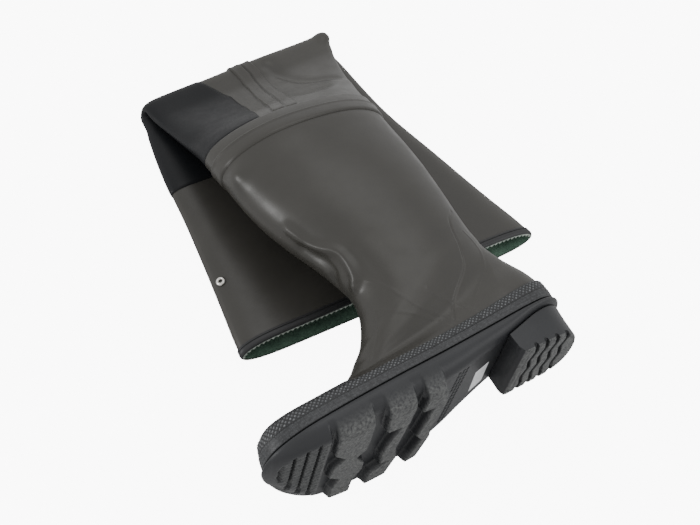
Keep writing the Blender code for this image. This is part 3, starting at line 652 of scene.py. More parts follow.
olive = rubber("olive rubber", (0.032, 0.0305, 0.0268), (0.040, 0.038, 0.0335), (0.30, 0.40))
black = rubber("black rubber", (0.016, 0.0165, 0.0175), (0.022, 0.0225, 0.024), (0.42, 0.52))
patch_black = rubber("knee patch rubber", (0.0055, 0.006, 0.007), (0.008, 0.0085, 0.0098), (0.38, 0.48), 0.2)
print("rubbers", olive.name, black.name, patch_black.name)

# %% [markdown]
# ## Sole rubber
# The treads and the knurl's tips have a rough face, as the mould leaves them, and the rest of the
# sole is smooth.  They are paler as well: partly a dusty tone, partly painted highlight, since faces
# that catch the light are made lighter than the walls and groove floors beside them.  The pieces
# carry that as a number at each point, which the material reads, so the change lies exactly on the
# shape's own edges.


# %% Sole rubber with rough treads
def with_attribute(obj, name, values):
    """Gives each point of an object a number that its material can read."""
    layer = obj.data.attributes.new(name=name, type="FLOAT", domain="POINT")
    layer.data.foreach_set("value", np.asarray(values, dtype=np.float32).ravel())


def sole_rubber(name, dark, light, dusty_and_lit):
    """Smooth charcoal rubber whose treads turn rough and paler where a mask says so: the paler tone is partly
    dust, partly painted highlight.
    """
    material, tree, shader = start_material(name, 0.45, Specular_IOR_Level=RUBBER_SHINE)
    tread = tree.nodes.new("ShaderNodeAttribute")
    tread.attribute_name = "tread"
    clouds = add_group(tree, CLOUDY, Scale=16.0, Low=0.3, High=0.72)
    dust = add_group(tree, CLOUDY, Scale=420.0, Low=0.3, High=0.7)
    smooth_color = mixed_color(tree, clouds.outputs["Mask"], dark, light)
    # Paler tread colour: partly a dusty tone, partly painted highlight on the faces that catch the light.
    rough_color = mixed_color(tree, dust.outputs["Mask"], light, dusty_and_lit)
    color = mixed_color(tree, tread.outputs["Fac"], smooth_color, rough_color)
    tree.links.new(color, shader.inputs["Base Color"])
    tree.links.new(mixed_value(tree, tread.outputs["Fac"], 0.40, 0.52), shader.inputs["Roughness"])
    fine = add_group(tree, GRAIN, Scale=1200.0, Strength=0.12, Depth=0.0003)
    coarse = add_group(tree, GRAIN, Scale=480.0, Depth=0.001)
    tree.links.new(fine.outputs["Normal"], coarse.inputs["Normal"])
    tree.links.new(mixed_value(tree, tread.outputs["Fac"], 0.04, 1.0), coarse.inputs["Strength"])
    tree.links.new(coarse.outputs["Normal"], shader.inputs["Normal"])
    material.diffuse_color = (*light, 1.0)
    return material


# Third colour of each: the paler tread and tip tone, partly dust and partly painted highlight.
foxing_mat = sole_rubber("foxing rubber", (0.012, 0.0125, 0.0135), (0.017, 0.0175, 0.019), (0.25, 0.26, 0.27))
sole_mat = sole_rubber("sole rubber", (0.016, 0.017, 0.019), (0.022, 0.023, 0.0255), (0.13, 0.133, 0.129))
print("sole rubbers", foxing_mat.name, sole_mat.name)

# %% [markdown]
# ## Lining
# The lining is a thin green woven cloth that shows in the mouth, and its cut edge is paler.  Two
# crossed waves give the threads; at this size they are bump, since no thread stands out.


# %% Green cloth lining
def cloth(name, dark, light, pitch):
    """Woven cloth: two crossed sets of threads over a cloudy colour."""
    material, tree, shader = start_material(name, 0.9)
    place = tree.nodes.new("ShaderNodeTexCoord")
    clouds = add_group(tree, CLOUDY, Scale=60.0, Low=0.3, High=0.7)
    heights = []
    for direction in ("X", "Y"):
        wave = tree.nodes.new("ShaderNodeTexWave")
        wave.bands_direction = direction
        wave.inputs["Scale"].default_value = 0.314 / pitch
        wave.inputs["Distortion"].default_value = 0.6
        tree.links.new(place.outputs["Object"], wave.inputs["Vector"])
        heights.append(wave.outputs["Fac"])
    weave = tree.nodes.new("ShaderNodeMath")
    weave.operation = "MAXIMUM"
    tree.links.new(heights[0], weave.inputs[0])
    tree.links.new(heights[1], weave.inputs[1])
    bump = tree.nodes.new("ShaderNodeBump")
    bump.inputs["Strength"].default_value = 0.6
    bump.inputs["Distance"].default_value = 0.0006
    tree.links.new(weave.outputs["Value"], bump.inputs["Height"])
    tree.links.new(bump.outputs["Normal"], shader.inputs["Normal"])
    tree.links.new(mixed_color(tree, clouds.outputs["Mask"], dark, light), shader.inputs["Base Color"])
    material.diffuse_color = (*light, 1.0)
    return material


lining = cloth("green lining", (0.050, 0.100, 0.070), (0.090, 0.160, 0.115), 0.0016)
cut_edge = cloth("cut edge of the lining", (0.26, 0.31, 0.27), (0.42, 0.47, 0.42), 0.0012)
print("cloth", lining.name, "and", cut_edge.name)

# %% [markdown]
# ## Boot part and thigh part
# The real wader is a boot with a thigh tube glued into its top, and a band covers the joint.  The
# model is made the same way: two closed pieces that meet under the band.  The columns are packed
# more closely on the side that shows the moulded lines.

# %% Boot and thigh
WALL = 1.9
FOLLOWS_HOLLOWS = 0.7
INNER_STEP = 9.0


def packed_columns(near_count, far_count):
    """Shares round the leg, in their own density on the inner and the outer side."""
    near = np.linspace(0, 0.5, near_count, endpoint=False)
    far = np.linspace(0.5, 1, far_count, endpoint=False)
    return np.concatenate([near, far])


def inner_skin(us, vs):
    """Inside of the wall: it follows the hollows, and stays smooth under the ridges."""
    return lifted(us, vs, np.minimum(relief(grid(us, vs)), 0.0) * FOLLOWS_HOLLOWS - WALL)


def leg_piece(name, us, runs):
    """Closed wall of the leg between the first and the last section of its runs."""
    outer_vs = np.unique(np.concatenate([even_sections(*run) for run in runs]).round(6))
    inner_vs = even_sections(outer_vs[0], outer_vs[-1], INNER_STEP)
    return tube_piece(name, skin(us, outer_vs), inner_skin(us, inner_vs), (olive, lining), inner_slot=1)


LEG_STEP_SCALE = 1.0
boot = leg_piece("boot", packed_columns(326, 60),
                 ((0.0, V_CALF, 1.5 * LEG_STEP_SCALE), (V_CALF, V_JOINT, 4.0)))
thigh = leg_piece("thigh", packed_columns(240, 120),
                  ((V_JOINT, V_FOLD, 2.2 * LEG_STEP_SCALE), (V_FOLD, V_COLLAR, 2.6 * LEG_STEP_SCALE)))
for part in (boot, thigh):
    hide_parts("upper")
    print(part.name, len(part.data.polygons), "faces")

# %% [markdown]
# ## Foxing
# Foxing is the band of rubber that covers the joint between upper and sole.  Here it has two
# tiers: a diamond knurl above and a finer hatch, standing prouder, below.  Both patterns are real
# geometry, made by raising points of a grid whose columns are even along the band.

# %% Foxing with its knurl
FOXING_HEIGHT = 21.0
FOXING_TOP_V = 2.0
FOXING_LOW_V = 0.02
KNURL_PITCH = 4.2
KNURL_HEIGHT = 1.1
HATCH_PITCH = 2.2
HATCH_HEIGHT = 0.55
HATCH_SQUASH = 1.35
HATCH_PALE = 0.45
SPLICE_X = -226.0
SPLICE_WIDTH = 1.1
SPLICE_DEPTH = 0.5
GLUE = 0.3
MIDDLE_Z = 70.0


def even_columns(v, count):
    """Shares that lie evenly along the loop at section v, the distance of each, and the whole."""
    loop = ring(v)
    walk = walked(np.vstack([loop, loop[:1]]))
    at = np.linspace(0, walk[-1], count, endpoint=False)
    return np.interp(at, walk, np.arange(DENSE + 1) / DENSE), at, walk[-1]


def knurl(along, up, pitch):
    """Small four-sided points, 0 in the valleys and 1 at the tips."""
    a = np.abs(np.mod((along + up) / pitch, 1.0) - 0.5) * 2
    b = np.abs(np.mod((along - up) / pitch, 1.0) - 0.5) * 2
    return 1 - np.maximum(a, b)


def build_foxing():
    """Two textured tiers, with a splice that shows on the inner side of the foot."""
    count = 1260
    us, along, length = even_columns(1.0, count)
    shares = np.concatenate([[0.0, 0.012], np.linspace(0.03, 0.46, 15), [0.475, 0.50, 0.525],
                             np.linspace(0.545, 0.90, 16), [0.92, 0.95, 0.985, 1.0]])
    vs = FOXING_LOW_V + (FOXING_TOP_V - FOXING_LOW_V) * shares
    lower = np.interp(shares, (0, 0.012, 0.03, 0.46, 0.475, 0.5), (1.2, 2.0, 2.4, 2.4, 2.25, 1.7))
    upper = np.interp(shares, (0.5, 0.525, 0.9, 0.95, 1.0), (1.7, 1.7, 1.7, 1.6, 0.5))
    up = (shares * FOXING_HEIGHT)[:, None]
    in_lower = ((shares > 0.025) & (shares < 0.465))[:, None]
    in_upper = ((shares > 0.54) & (shares < 0.905))[:, None]
    points = knurl(along[None, :], up, length / round(length / KNURL_PITCH))
    hatch = knurl(along[None, :], up * HATCH_SQUASH, length / round(length / HATCH_PITCH))
    # These tips get the paler tread colour, partly dust and partly painted highlight.
    tips = np.where(in_upper, np.clip(points * 1.9 - 0.6, 0, 1), 0) + np.where(in_lower, HATCH_PALE * hatch, 0)
    base = grid(us, vs)
    splice = np.exp(-(((base[..., 0] - SPLICE_X) / SPLICE_WIDTH) ** 2)) * (base[..., 2] > MIDDLE_Z)
    thick = np.where(shares < 0.5, lower, upper)[:, None] - SPLICE_DEPTH * splice
    thick = thick + np.where(in_upper, points * KNURL_HEIGHT, 0) + np.where(in_lower, hatch * HATCH_HEIGHT, 0)
    outer = lifted(us, vs, GLUE + thick)
    outer[0, :, 1] -= 0.45
    inner = lifted(us, np.array([FOXING_LOW_V, 1.0, FOXING_TOP_V]), GLUE)
    obj = tube_piece("foxing_band", outer, inner, (foxing_mat,))
    with_attribute(obj, "tread", np.concatenate([tips.ravel(), np.zeros(inner.shape[0] * count)]))
    return obj


foxing = build_foxing()
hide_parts("foxing")
print(foxing.name, len(foxing.data.polygons), "faces")

# %% [markdown]
# ## Bands, tapes and patches
# Every overlay is a strip of the same skin, raised by its own thickness, with its edges rounded
# down to the leg.  Where an edge runs across the sections, each row has its own first and last
# column.

# %% Overlays on the leg
LINE_NAMES = ("height", "patch", "tape_left", "tape_right")
PATCH_LINES = np.array((
    (318, -142, -128, -101), (340, -136, -122, -95), (386, -121, -104, -77), (425, -115, -94, -70),
    (446, -123, -93, -67), (462, -132, -95, -70),
), dtype=float)
PATCH_END_Y = 349.0
PATCH_COLUMNS = 150
PATCH_THICK = 0.8
TAPE_END_Y = 409.0
TAPE_ACROSS = (0, 0.02, 0.05, 0.09, 0.25, 0.36, 0.40, 0.44, 0.48, 0.52, 0.56, 0.7, 0.9, 0.95, 0.98, 1.0)
TAPE_THICK = (-0.15, 0.9, 1.5, 1.3, 1.0, 1.3, 1.3, 0.0, 0.0, 1.7, 1.8, 1.4, 1.5, 1.8, 1.2, -0.15)
JOINT_GAP = 0.02


def line_x(v, name):
    """Place of a patch or tape line at section v, held past the fold."""
    height = ring(min(v, V_FOLD + 1))[:, 1].mean()
    return float(np.interp(height, PATCH_LINES[:, 0], PATCH_LINES[:, LINE_NAMES.index(name)]))


def rounded(count, thick, edge=0.25, steps=2):
    """Thickness across a strip, rising from an edge value."""
    rank = np.minimum(np.arange(count), np.arange(count)[::-1])
    return thick * (edge + (1 - edge) * np.sin(np.clip(rank / steps, 0, 1) * np.pi / 2))


def build_band():
    """Two tapes round the joint, the lower one overlapping the upper with a lip."""
    us = packed_columns(240, 120)
    shares = np.concatenate([[0.0, 0.02, 0.05], np.linspace(0.1, 0.42, 6), [0.46, 0.49, 0.51, 0.54],
                             np.linspace(0.6, 0.9, 6), [0.95, 0.98, 1.0]])
    vs = V_BAND_LOW + (V_BAND_HIGH - V_BAND_LOW) * shares
    thick = np.interp(shares, (0, 0.02, 0.05, 0.1, 0.42, 0.46, 0.49, 0.51, 0.54, 0.95, 0.98, 1.0),
                      (-0.25, 0.8, 1.3, 1.5, 1.6, 2.1, 2.2, 1.5, 0.5, 1.1, 1.1, -0.2))
    inner = skin(us, np.array([V_BAND_LOW, V_JOINT, V_BAND_HIGH]), GLUE / 2)
    return tube_piece("joint_tapes", skin(us, vs, GLUE + thick[:, None]), inner, (olive,))


def edge_u(name, inner_side=True):
    """Share round any section where a patch or tape line runs."""
    return lambda v: u_at_x(v, line_x(v, name), inner_side)


def strip(name, first_v, last_v, spacing, left, right, across, thick, material):
    """Overlay strip between two edges given as shares for each section."""
    vs = even_sections(first_v, last_v, spacing)
    us = np.array([left(v) + (right(v) - left(v)) * np.asarray(across) for v in vs])
    rank = np.arange(len(vs))
    ends = np.interp(np.minimum(rank, rank[::-1]), (0, 1, 2), (0.4, 0.8, 1))
    outer = skin(us, vs, 0.2 + np.asarray(thick)[None, :] * ends[:, None])
    return sheet_piece(name, outer, skin(us, vs, 0.1), (material,))


band = build_band()
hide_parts("joint_band")
knee_patch = strip(
    "knee_patch_sheet", V_BAND_HIGH + JOINT_GAP, v_at_y(PATCH_END_Y, V_THIGH, V_COLLAR), 4.0, edge_u("patch"),
    edge_u("patch", inner_side=False), np.linspace(0, 1, PATCH_COLUMNS), rounded(PATCH_COLUMNS, PATCH_THICK),
    patch_black)
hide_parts("knee_patch")
side_tape = strip(
    "side_seam_tape", V_BAND_HIGH + JOINT_GAP, v_at_y(TAPE_END_Y, V_THIGH, V_COLLAR), 3.0, edge_u("tape_right"),
    edge_u("tape_left"), TAPE_ACROSS, TAPE_THICK, olive)
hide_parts("side_tape")
print("overlays", band.name, knee_patch.name, side_tape.name)

# %% [markdown]
# ## Toe cap
# A black cap of thin rubber covers the toe above the foxing and protects it from stones.  It is a
# sheet over the toe's own sections, from edge to edge at one place along X.

# %% Toe cap
CAP_BACK_X = -214.0


def build_cap():
    """Sheet over the toe, rounded down at its edges."""
    count = 90
    vs = np.concatenate([np.linspace(2.07, 6.0, 26), [6.3, 6.6]])
    near = np.array([u_at_x(v, CAP_BACK_X) for v in vs])[:, None]
    far = np.array([u_at_x(v, CAP_BACK_X, inner_side=False) for v in vs])[:, None]
    us = near + (far - near) * np.linspace(0, 1, count)[None, :]
    thick = np.interp(np.arange(len(vs)), (0, 1, 2), (0.8, 1.3, 1.6))[:, None] * rounded(count, 1.0)[None, :]
    return sheet_piece("toe_cap_sheet", lifted(us, vs, 0.1 + GLUE + thick), lifted(us, vs, GLUE), (black,))


toe_cap = build_cap()
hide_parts("toe_cap")
print(toe_cap.name, len(toe_cap.data.polygons), "faces")

# %% [markdown]
# ## Collar
# A black tape is folded over the collar's edge.  Inside, the lining's cut edge shows as a pale
# saw-tooth line.  The tape is one closed loop of section corners carried round the mouth.

# %% Binding round the collar
TAPE_PROFILE = ((-7.2, 0.05), (-7.2, 0.9), (-6.7, 1.2), (-5.2, 1.1), (-4.7, 0.4), (-4.2, 0.4), (-3.8, 1.2),
                (-2.2, 1.2), (-0.9, 0.8), (0.2, 0.1), (0.8, -0.5), (0.95, -1.0))
LAST_ROW_MM = 20.6
TOOTH_PITCH = 5.2
TOOTH_LENGTH = 3.2


def build_binding():
    """Tape over the outer side of the lip; its pinked inner edge shows only under the upper lip."""
    count = 900
    us, along, length = even_columns(V_COLLAR, count)
    edge = skin(us, [V_COLLAR])[0]
    normal = grid_normals(us, [V_COLLAR])[0]
    out = np.array([0.0, -1.0, 0.0])
    upper_lip = np.clip((edge[:, 2] - 12.0) / 5.0, 0, 1)
    teeth = np.abs(np.mod(along / (length / round(length / TOOTH_PITCH)), 1.0) - 0.5) * 2
    hang = (1.6 + upper_lip * (0.2 + TOOTH_LENGTH * teeth))[:, None]
    loops = []
    for reach, offset in TAPE_PROFILE:
        if reach < -1:
            loops.append(skin(us, [V_COLLAR + reach / LAST_ROW_MM], offset)[0])
        else:
            loops.append(edge + out * reach + normal * offset)
    for reach, depth in ((1.0, 1.2), (0.9, hang), (0.5, hang), (0.4, 1.2), (0.25, -0.1)):
        loops.append(edge + out * reach - normal * depth)
    quads = rows_quads(len(loops), count, closed_rows=True)
    face_rows = np.repeat(np.arange(len(loops)), count)
    pale = (face_rows >= len(TAPE_PROFILE)) & (face_rows < len(TAPE_PROFILE) + 3)
    return new_piece("collar_binding", loops, quads[:, ::-1], (black, cut_edge), pale * 1, sharp=50)


binding = build_binding()
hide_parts("binding")
print(binding.name, len(binding.data.polygons), "faces")

# %% [markdown]
# ## Outsole
# The sole is moulded in one piece: a plate with a rounded flank, three stepped lug bars, a ribbed
# toe section and a waist with two rows of small dots and a short third one.  It is a height map:
# one function gives the underside's height at any place.  Loops that follow the rim and grids that
# fill the middle are lifted by it.  The lugs' ends run out into the flank, as a mould makes them.

# %% Tables of the sole
UNDER = (
    (60, 34), (8, 34), (-20, 33), (-36, 31), (-55, 26), (-71, 22), (-86, 19.2), (-103, 16.5), (-120, 13.5),
    (-140, 10.5), (-170, 8.5), (-215, 8), (-255, 8), (-285, 9.5), (-312, 12.5),
)
LUG_REAR = ((140, -166, -146), (118, -166, -146), (101, -168, -143), (100, -157, -143), (82, -158, -145),
            (58, -162, -150), (54, -163, -147), (42, -155, -146), (14, -164, -152), (-12, -168, -156))
LUG_MIDDLE = ((145, -204, -177), (119, -204, -177), (93, -201, -178), (91, -187, -179), (68, -195, -181),
              (52, -198, -183), (33, -196, -179), (31, -187, -178), (24, -204, -180), (7, -206, -184),
              (-15, -208, -186))
LUG_FRONT = ((145, -251, -217), (116, -251, -217), (92, -250, -216), (78, -239, -217), (69, -248, -225),
             (53, -250, -215), (40, -238, -214), (27, -243, -221), (-5, -243, -221))
LUGS = ((LUG_REAR, 0.0), (LUG_MIDDLE, 0.0), (LUG_FRONT, 1.0))
TOE_BARS = ((-257.0, -265.2, 3.0), (-267.4, -275.8, 3.8), (-278.0, -286.4, 5.0), (-288.6, -296.6, 6.6),
            (-298.8, -304.5, 8.6))
TOE_PAD_X = (-304.5, -257.0)
RIB_PITCH = 5.3
RIB_HEIGHT = 0.8
DOT_PITCH = 5.3
DOT_ROW_STEP = 4.7
DOT_FIRST_X = -116.5
DOT_HEIGHT = 2.6
RIM_TOE_Y = 17.0
RIM_RISE = 24.0
SOLE_TOE_X = -310.0
SOLE_LENGTH = 314.0


def rim_height(x):
    """Height of the plate's upper edge, which rises towards the heel."""
    return RIM_TOE_Y + RIM_RISE * (x - SOLE_TOE_X) / SOLE_LENGTH


def under_height(x):
    """Height of the plate's underside along the sole, with its corners rounded off."""
    table = np.array(UNDER[::-1], dtype=float)
    return sum(np.interp(x + shift, table[:, 0], table[:, 1]) for shift in (0, -5, 5)) / 3


def soft_step(distance, width):
    """Smooth change from 0 to 1 over a width."""
    t = np.clip(distance / width + 0.5, 0, 1)
    return t * t * (3 - 2 * t)


def polygon_distance(x, z, polygon):
    """Distance to a polygon's edge, positive inside."""
    corners = np.array(polygon, dtype=float)
    best = np.full(x.shape, 1e9)
    inside = np.zeros(x.shape, dtype=bool)
    for a, b in zip(corners, np.roll(corners, -1, axis=0)):
        span = b - a
        t = np.clip(((x - a[0]) * span[0] + (z - a[1]) * span[1]) / (span @ span), 0, 1)
        best = np.minimum(best, np.hypot(x - a[0] - t * span[0], z - a[1] - t * span[1]))
        if a[1] != b[1]:
            crosses = (a[1] > z) != (b[1] > z)
            inside ^= crosses & (x < a[0] + (z - a[1]) / (b[1] - a[1]) * span[0])
    return np.where(inside, best, -best)


print("lug bars", len(LUGS), "toe bars", len(TOE_BARS))

# %% [markdown]
# ## The underside as one height
# Lugs, toe pad, ribs and dots are each a soft-edged mask times a height.  Where the lugs meet the
# flank they round up into it by a quarter ellipse, further on the inner side than on the outer.

# %% Height of the sole's underside
FLANK_LOOPS = ((40.0, 1.0), (2.4, 1.0), (1.4, 0.985), (0.7, 0.92), (0.2, 0.84), (0.0, 0.77))
UNDER_LOOPS = (0.0, 0.15, 0.5, 1.0, 1.7, 2.5, 3.4, 4.4, 5.5, 6.7, 8.0, 9.4, 10.8, 12.2, 13.6, 15.0, 16.2, 17.0)
MIDDLE_INSET = 16.4


def quarter(d, reach):
    """Quarter ellipse: 1 at the rim, 0 from the reach inward."""
    return 1 - np.sqrt(1 - np.clip(1 - d / reach, 0, 1) ** 2)


def sole_height(x, z, d):
    """Height of the underside at x, z, where d is the distance in from the rim; and a tread mask."""
    base = under_height(x)
    crown = base + 0.7 * (rim_height(x) - base)
    plain = base + (crown - base) * quarter(d, 3.0 + 8.0 * soft_step(z - 75.0, 40.0))
    tread_mask = np.zeros(x.shape)
    for table, tread in LUGS:
        toe_edge = [(row[1], row[0]) for row in table]
        heel_edge = [(row[2], row[0]) for row in table]
        away = polygon_distance(x, z, toe_edge + heel_edge[::-1])
        mask = soft_step(away, 1.7)
        reach = 5.0 + 11.0 * soft_step(z - 80.0, 40.0)
        lug = tread + (crown - tread) * quarter(d, reach) + 0.35 * np.exp(-np.maximum(away, 0) / 0.8)
        plain = plain * (1 - mask) + np.minimum(lug, plain) * mask
        tread_mask = np.maximum(tread_mask, mask * soft_step(away - 0.5, 1.0) * np.clip(d / 6, 0, 1))
    bars = np.array(TOE_BARS)
    order = np.argsort(bars[:, :2].mean(axis=1))
    tread = np.interp(x, bars[order, :2].mean(axis=1), bars[order, 2])
    ahead = TOE_PAD_X[1] - x
    pad = soft_step(ahead, 0.9) * soft_step(x - TOE_PAD_X[0], 4.0)
    inward = np.where(z > MIDDLE_Z, d, d - 3.0)
    body = tread + (crown - tread) * quarter(inward, 13.0)
    ribbed = soft_step(inward - 12.0, 6.0)
    waves = 0.5 + 0.5 * np.cos(2 * np.pi * z / RIB_PITCH)
    rib = RIB_HEIGHT * waves * ribbed * (1 - soft_step(3.0 - ahead, 1.0))
    cut = np.zeros(x.shape)
    for rear, front in zip(bars[:-1, 1], bars[1:, 0]):
        cut = np.maximum(cut, soft_step(1.45 - np.abs(x - (rear + front) / 2), 0.9))
    cut = cut * np.where(z > MIDDLE_Z, soft_step(d - 10.5, 2.0), 1.0)
    depth = np.clip(base - body, 0, 4.0)
    plain = plain * (1 - pad) + np.minimum(body + rib + cut * (depth + 1.0), plain + 0.6) * pad
    tread_mask = np.maximum(tread_mask, 0.55 * pad * ribbed * (1 - cut))
    for row, far_end in enumerate((30, 30, 84)):
        line = DOT_FIRST_X - DOT_ROW_STEP * row - 5.0 * np.clip((116.0 - z) / 90.0, 0, 1)
        local = np.mod(z + 2.6 * row, DOT_PITCH) - DOT_PITCH / 2
        dot = np.exp(-(((x - line) / 1.25) ** 4 + (local / 1.5) ** 4)) * (z < 117) * (z > far_end)
        plain = plain + DOT_HEIGHT * dot
    return plain, np.clip(tread_mask, 0, 1)


def rim_distance(x, z):
    """Distance in from the rim for places inside it."""
    corners = inset_rim(0)[::12]
    return np.maximum(polygon_distance(x, z, corners), 0)


def sole_flank():
    """Loops from the top of the plate down the flank and in under it."""
    count = 800
    pick = np.round(np.linspace(0, DENSE, count, endpoint=False)).astype(int)
    points, masks = [], []
    for inset, share in FLANK_LOOPS:
        x, z = inset_rim(inset)[pick].T
        low = under_height(x)
        points.append(np.stack([x, low + (rim_height(x) - low) * share, z], axis=1))
        masks.append(np.zeros(count))
    for d in UNDER_LOOPS:
        x, z = inset_rim(d)[pick].T
        y, mask = sole_height(x, z, np.full(count, d))
        points.append(np.stack([x, y, z], axis=1))
        masks.append(mask)
    return np.array(points), rows_quads(len(points), count), np.array(masks)


def far_and_near(loop, x):
    """Lowest and highest z at which a closed loop crosses each place along x."""
    low, high = np.zeros(x.shape), np.zeros(x.shape)
    a, b = loop, np.roll(loop, -1, axis=0)
    for k, place in enumerate(x):
        crossing = (a[:, 0] - place) * (b[:, 0] - place) <= 0
        share = (place - a[crossing, 0]) / (b[crossing, 0] - a[crossing, 0] + 1e-12)
        z = a[crossing, 1] + share * (b[crossing, 1] - a[crossing, 1])
        low[k], high[k] = z.min(), z.max()
    return low, high


def sole_middle(first_x, last_x, across, columns):
    """Grid that fills the underside between two places along it."""
    loop = inset_rim(MIDDLE_INSET)
    first_x, last_x = max(first_x, loop[:, 0].min() + 0.02), min(last_x, loop[:, 0].max() - 0.02)
    even = np.linspace(0, 1, columns)
    if first_x < -280:
        even = 0.7 * even + 0.3 * even**2
    if last_x > -30:
        even = 0.7 * even + 0.3 * (1 - (1 - even) ** 2)
    x = first_x + (last_x - first_x) * even
    low, high = far_and_near(loop, x)
    z = low[:, None] + (high - low)[:, None] * np.linspace(0, 1, across)[None, :]
    xs = x[:, None] * np.ones((1, across))
    y, mask = sole_height(xs, z, rim_distance(xs, z))
    return np.stack([xs, y, z], axis=2), rows_quads(columns, across, closed_columns=False), mask


def join_grids(name, parts, slots):
    """One object from several grids and their tread masks."""
    points, quads, values, start = [], [], [], 0
    for grid_points, grid_quads, mask in parts:
        flat = grid_points.reshape(-1, 3)
        points.append(flat)
        quads.append(grid_quads + start)
        values.append(mask.ravel())
        start += len(flat)
    obj = new_piece(name, np.concatenate(points), np.concatenate(quads), slots)
    with_attribute(obj, "tread", np.concatenate(values))
    return obj


print("height at the ball", float(sole_height(np.array([-190.0]), np.array([60.0]), np.array([40.0]))[0][0]))

# %% [markdown]
# ## The sole's grids
# The middle is cut into four grids, because its parts need different densities: the dots of the
# waist are small and close, and the seat under the heel is plain and hidden.

# %% Outsole
MIDDLE_GRIDS = ((-400, -255.9, 200, 120), (-256.0, -137.9, 160, 180), (-138.0, -108.9, 250, 66),
                (-109.0, 400, 60, 74))
GRID_SHARE = 1.0
sole_parts = [sole_flank()]
for first_x, last_x, across, columns in MIDDLE_GRIDS:
    sole_parts.append(sole_middle(first_x, last_x, int(across * GRID_SHARE), int(columns * GRID_SHARE)))
outsole = join_grids("outsole_moulding", sole_parts, (sole_mat,))
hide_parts("outsole")
print(outsole.name, len(outsole.data.polygons), "faces")

# %% [markdown]
# ## Heel
# The heel is a separate block glued to the seat.  Its tread has four zigzag grooves that open at
# both sides, and its breast slopes in two facets.  Loops carry its wall, and its tread is again a
# height map, so the grooves get rounded floors and soft lips.

# %% Heel block
HEEL_GROOVES_X = (-56.5, -45.5, -34.0, -22.5)
HEEL_ZIGZAG_Z = (48, 66, 79, 92, 105, 118, 136)
HEEL_ZIGZAG_HALF = 1.8
HEEL_FRONT_X = -71.0
GROOVE_DEPTH = 3.6
GROOVE_HALF = 1.75
HEEL_WALL = ((9.0, 1.0), (4.6, 1.0), (4.5, 0.98), (4.4, 0.9), (4.3, 0.78), (4.1, 0.62), (3.8, 0.48),
             (3.4, 0.34), (3.0, 0.2), (2.7, 0.12), (2.6, 0.07))
HEEL_LIP = ((2.7, 1.25), (2.85, 1.1), (3.9, 0.08), (4.1, 0.02), (4.8, 0.0), (5.6, 0.0))


def groove_depth(x, z):
    """Depth of the zigzag grooves."""
    turns = [HEEL_ZIGZAG_HALF if k % 2 else -HEEL_ZIGZAG_HALF for k in range(len(HEEL_ZIGZAG_Z))]
    shift = np.interp(z, HEEL_ZIGZAG_Z, turns)
    away = np.min([np.abs(x - place - shift) for place in HEEL_GROOVES_X], axis=0)
    return GROOVE_DEPTH * soft_step(GROOVE_HALF - away, 1.2)


def heel_loop(inset, count, front, squeeze):
    """Loop of the heel: the rim's back part closed by a straight breast, drawn in behind."""
    loop = inset_rim(inset)
    keep = loop[loop[:, 0] > front]
    start = int(np.argmax(np.linalg.norm(keep - np.roll(keep, 1, axis=0), axis=1)))
    keep = np.roll(keep, -start, axis=0)
    gap = keep[0] - keep[-1]
    breast = keep[-1] + gap * np.linspace(0, 1, 60)[1:-1, None]
    out = at_even_steps(np.concatenate([keep, breast, keep[:1]]), count)
    behind = np.maximum(out[:, 0] + 42.0, 0.0)
    out[:, 0] -= behind * 0.13 * squeeze
    return out


def build_heel():
    """Loops down the wall and over the lip, and a grid that fills the tread."""
    count = 900
    points, masks = [], []
    for inset, share in HEEL_WALL:
        front = HEEL_FRONT_X + np.interp(share, (0.06, 0.3), (2.0, 0.0))
        x, z = heel_loop(inset, count, front, 1 - share).T
        opening = groove_depth(x, z) * np.clip(1 - share / 0.16, 0, 1)
        y = (under_height(x) - 0.3) * share + np.where(x > HEEL_FRONT_X + 6, opening, 0)
        points.append(np.stack([x, y, z], axis=1))
        masks.append(np.zeros(count))
    for d, y in HEEL_LIP:
        x, z = heel_loop(d, count, HEEL_FRONT_X + 2.0 + (d - 2.6) * 2.0, 1.0).T
        depth = groove_depth(x, z)
        points.append(np.stack([x, y + depth, z], axis=1))
        masks.append(1.0 * (depth < 0.3))
    edge = heel_loop(5.4, count, HEEL_FRONT_X + 7.6, 1.0)
    columns, across = ((190, 200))
    last = edge[:, 0].max() - 0.02
    x = np.linspace(edge[:, 0].min() + 0.02, last, columns)
    x[-12:] = x[-13] + (last - x[-13]) * np.sin(np.linspace(0, np.pi / 2, 13))[1:]
    low, high = far_and_near(edge, x)
    z = low[:, None] + (high - low)[:, None] * np.linspace(0, 1, across)[None, :]
    xs = x[:, None] * np.ones((1, across))
    depth = groove_depth(xs, z)
    wall = (np.array(points), rows_quads(len(points), count), np.array(masks))
    tread = (np.stack([xs, depth, z], axis=2), rows_quads(columns, across, closed_columns=False),
             1.0 * (depth < 0.4))
    return join_grids("heel_block", [wall, tread], (sole_mat,))


heel = build_heel()
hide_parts("heel")
print(heel.name, len(heel.data.polygons), "faces")

# %% [markdown]
# ## Eyelet, label and insole
# The eyelet is a rolled metal ring: a profile carried round its middle.  The label is a blank white
# film laid on the waist's own height, so that it follows the curve.  The insole keeps its plain
# solid, since a flat sheet is all it is, and gets the same cloth as the lining.

# %% Eyelet and small finishes
EYELET_Y = 232.0
EYELET_X = -226.0
EYELET_COLUMNS = 72
EYELET_PROFILE = ((1.7, 0.3), (1.75, 1.0), (2.0, 1.5), (2.4, 1.95), (3.0, 2.1), (3.6, 1.95), (4.2, 1.5),
                  (4.6, 0.9), (4.7, 0.4), (3.0, 0.3))
LABEL_CORNERS = ((-99, 89.5), (-84.5, 94), (-82.5, 61), (-96.5, 54))
LABEL_THICK = 0.35


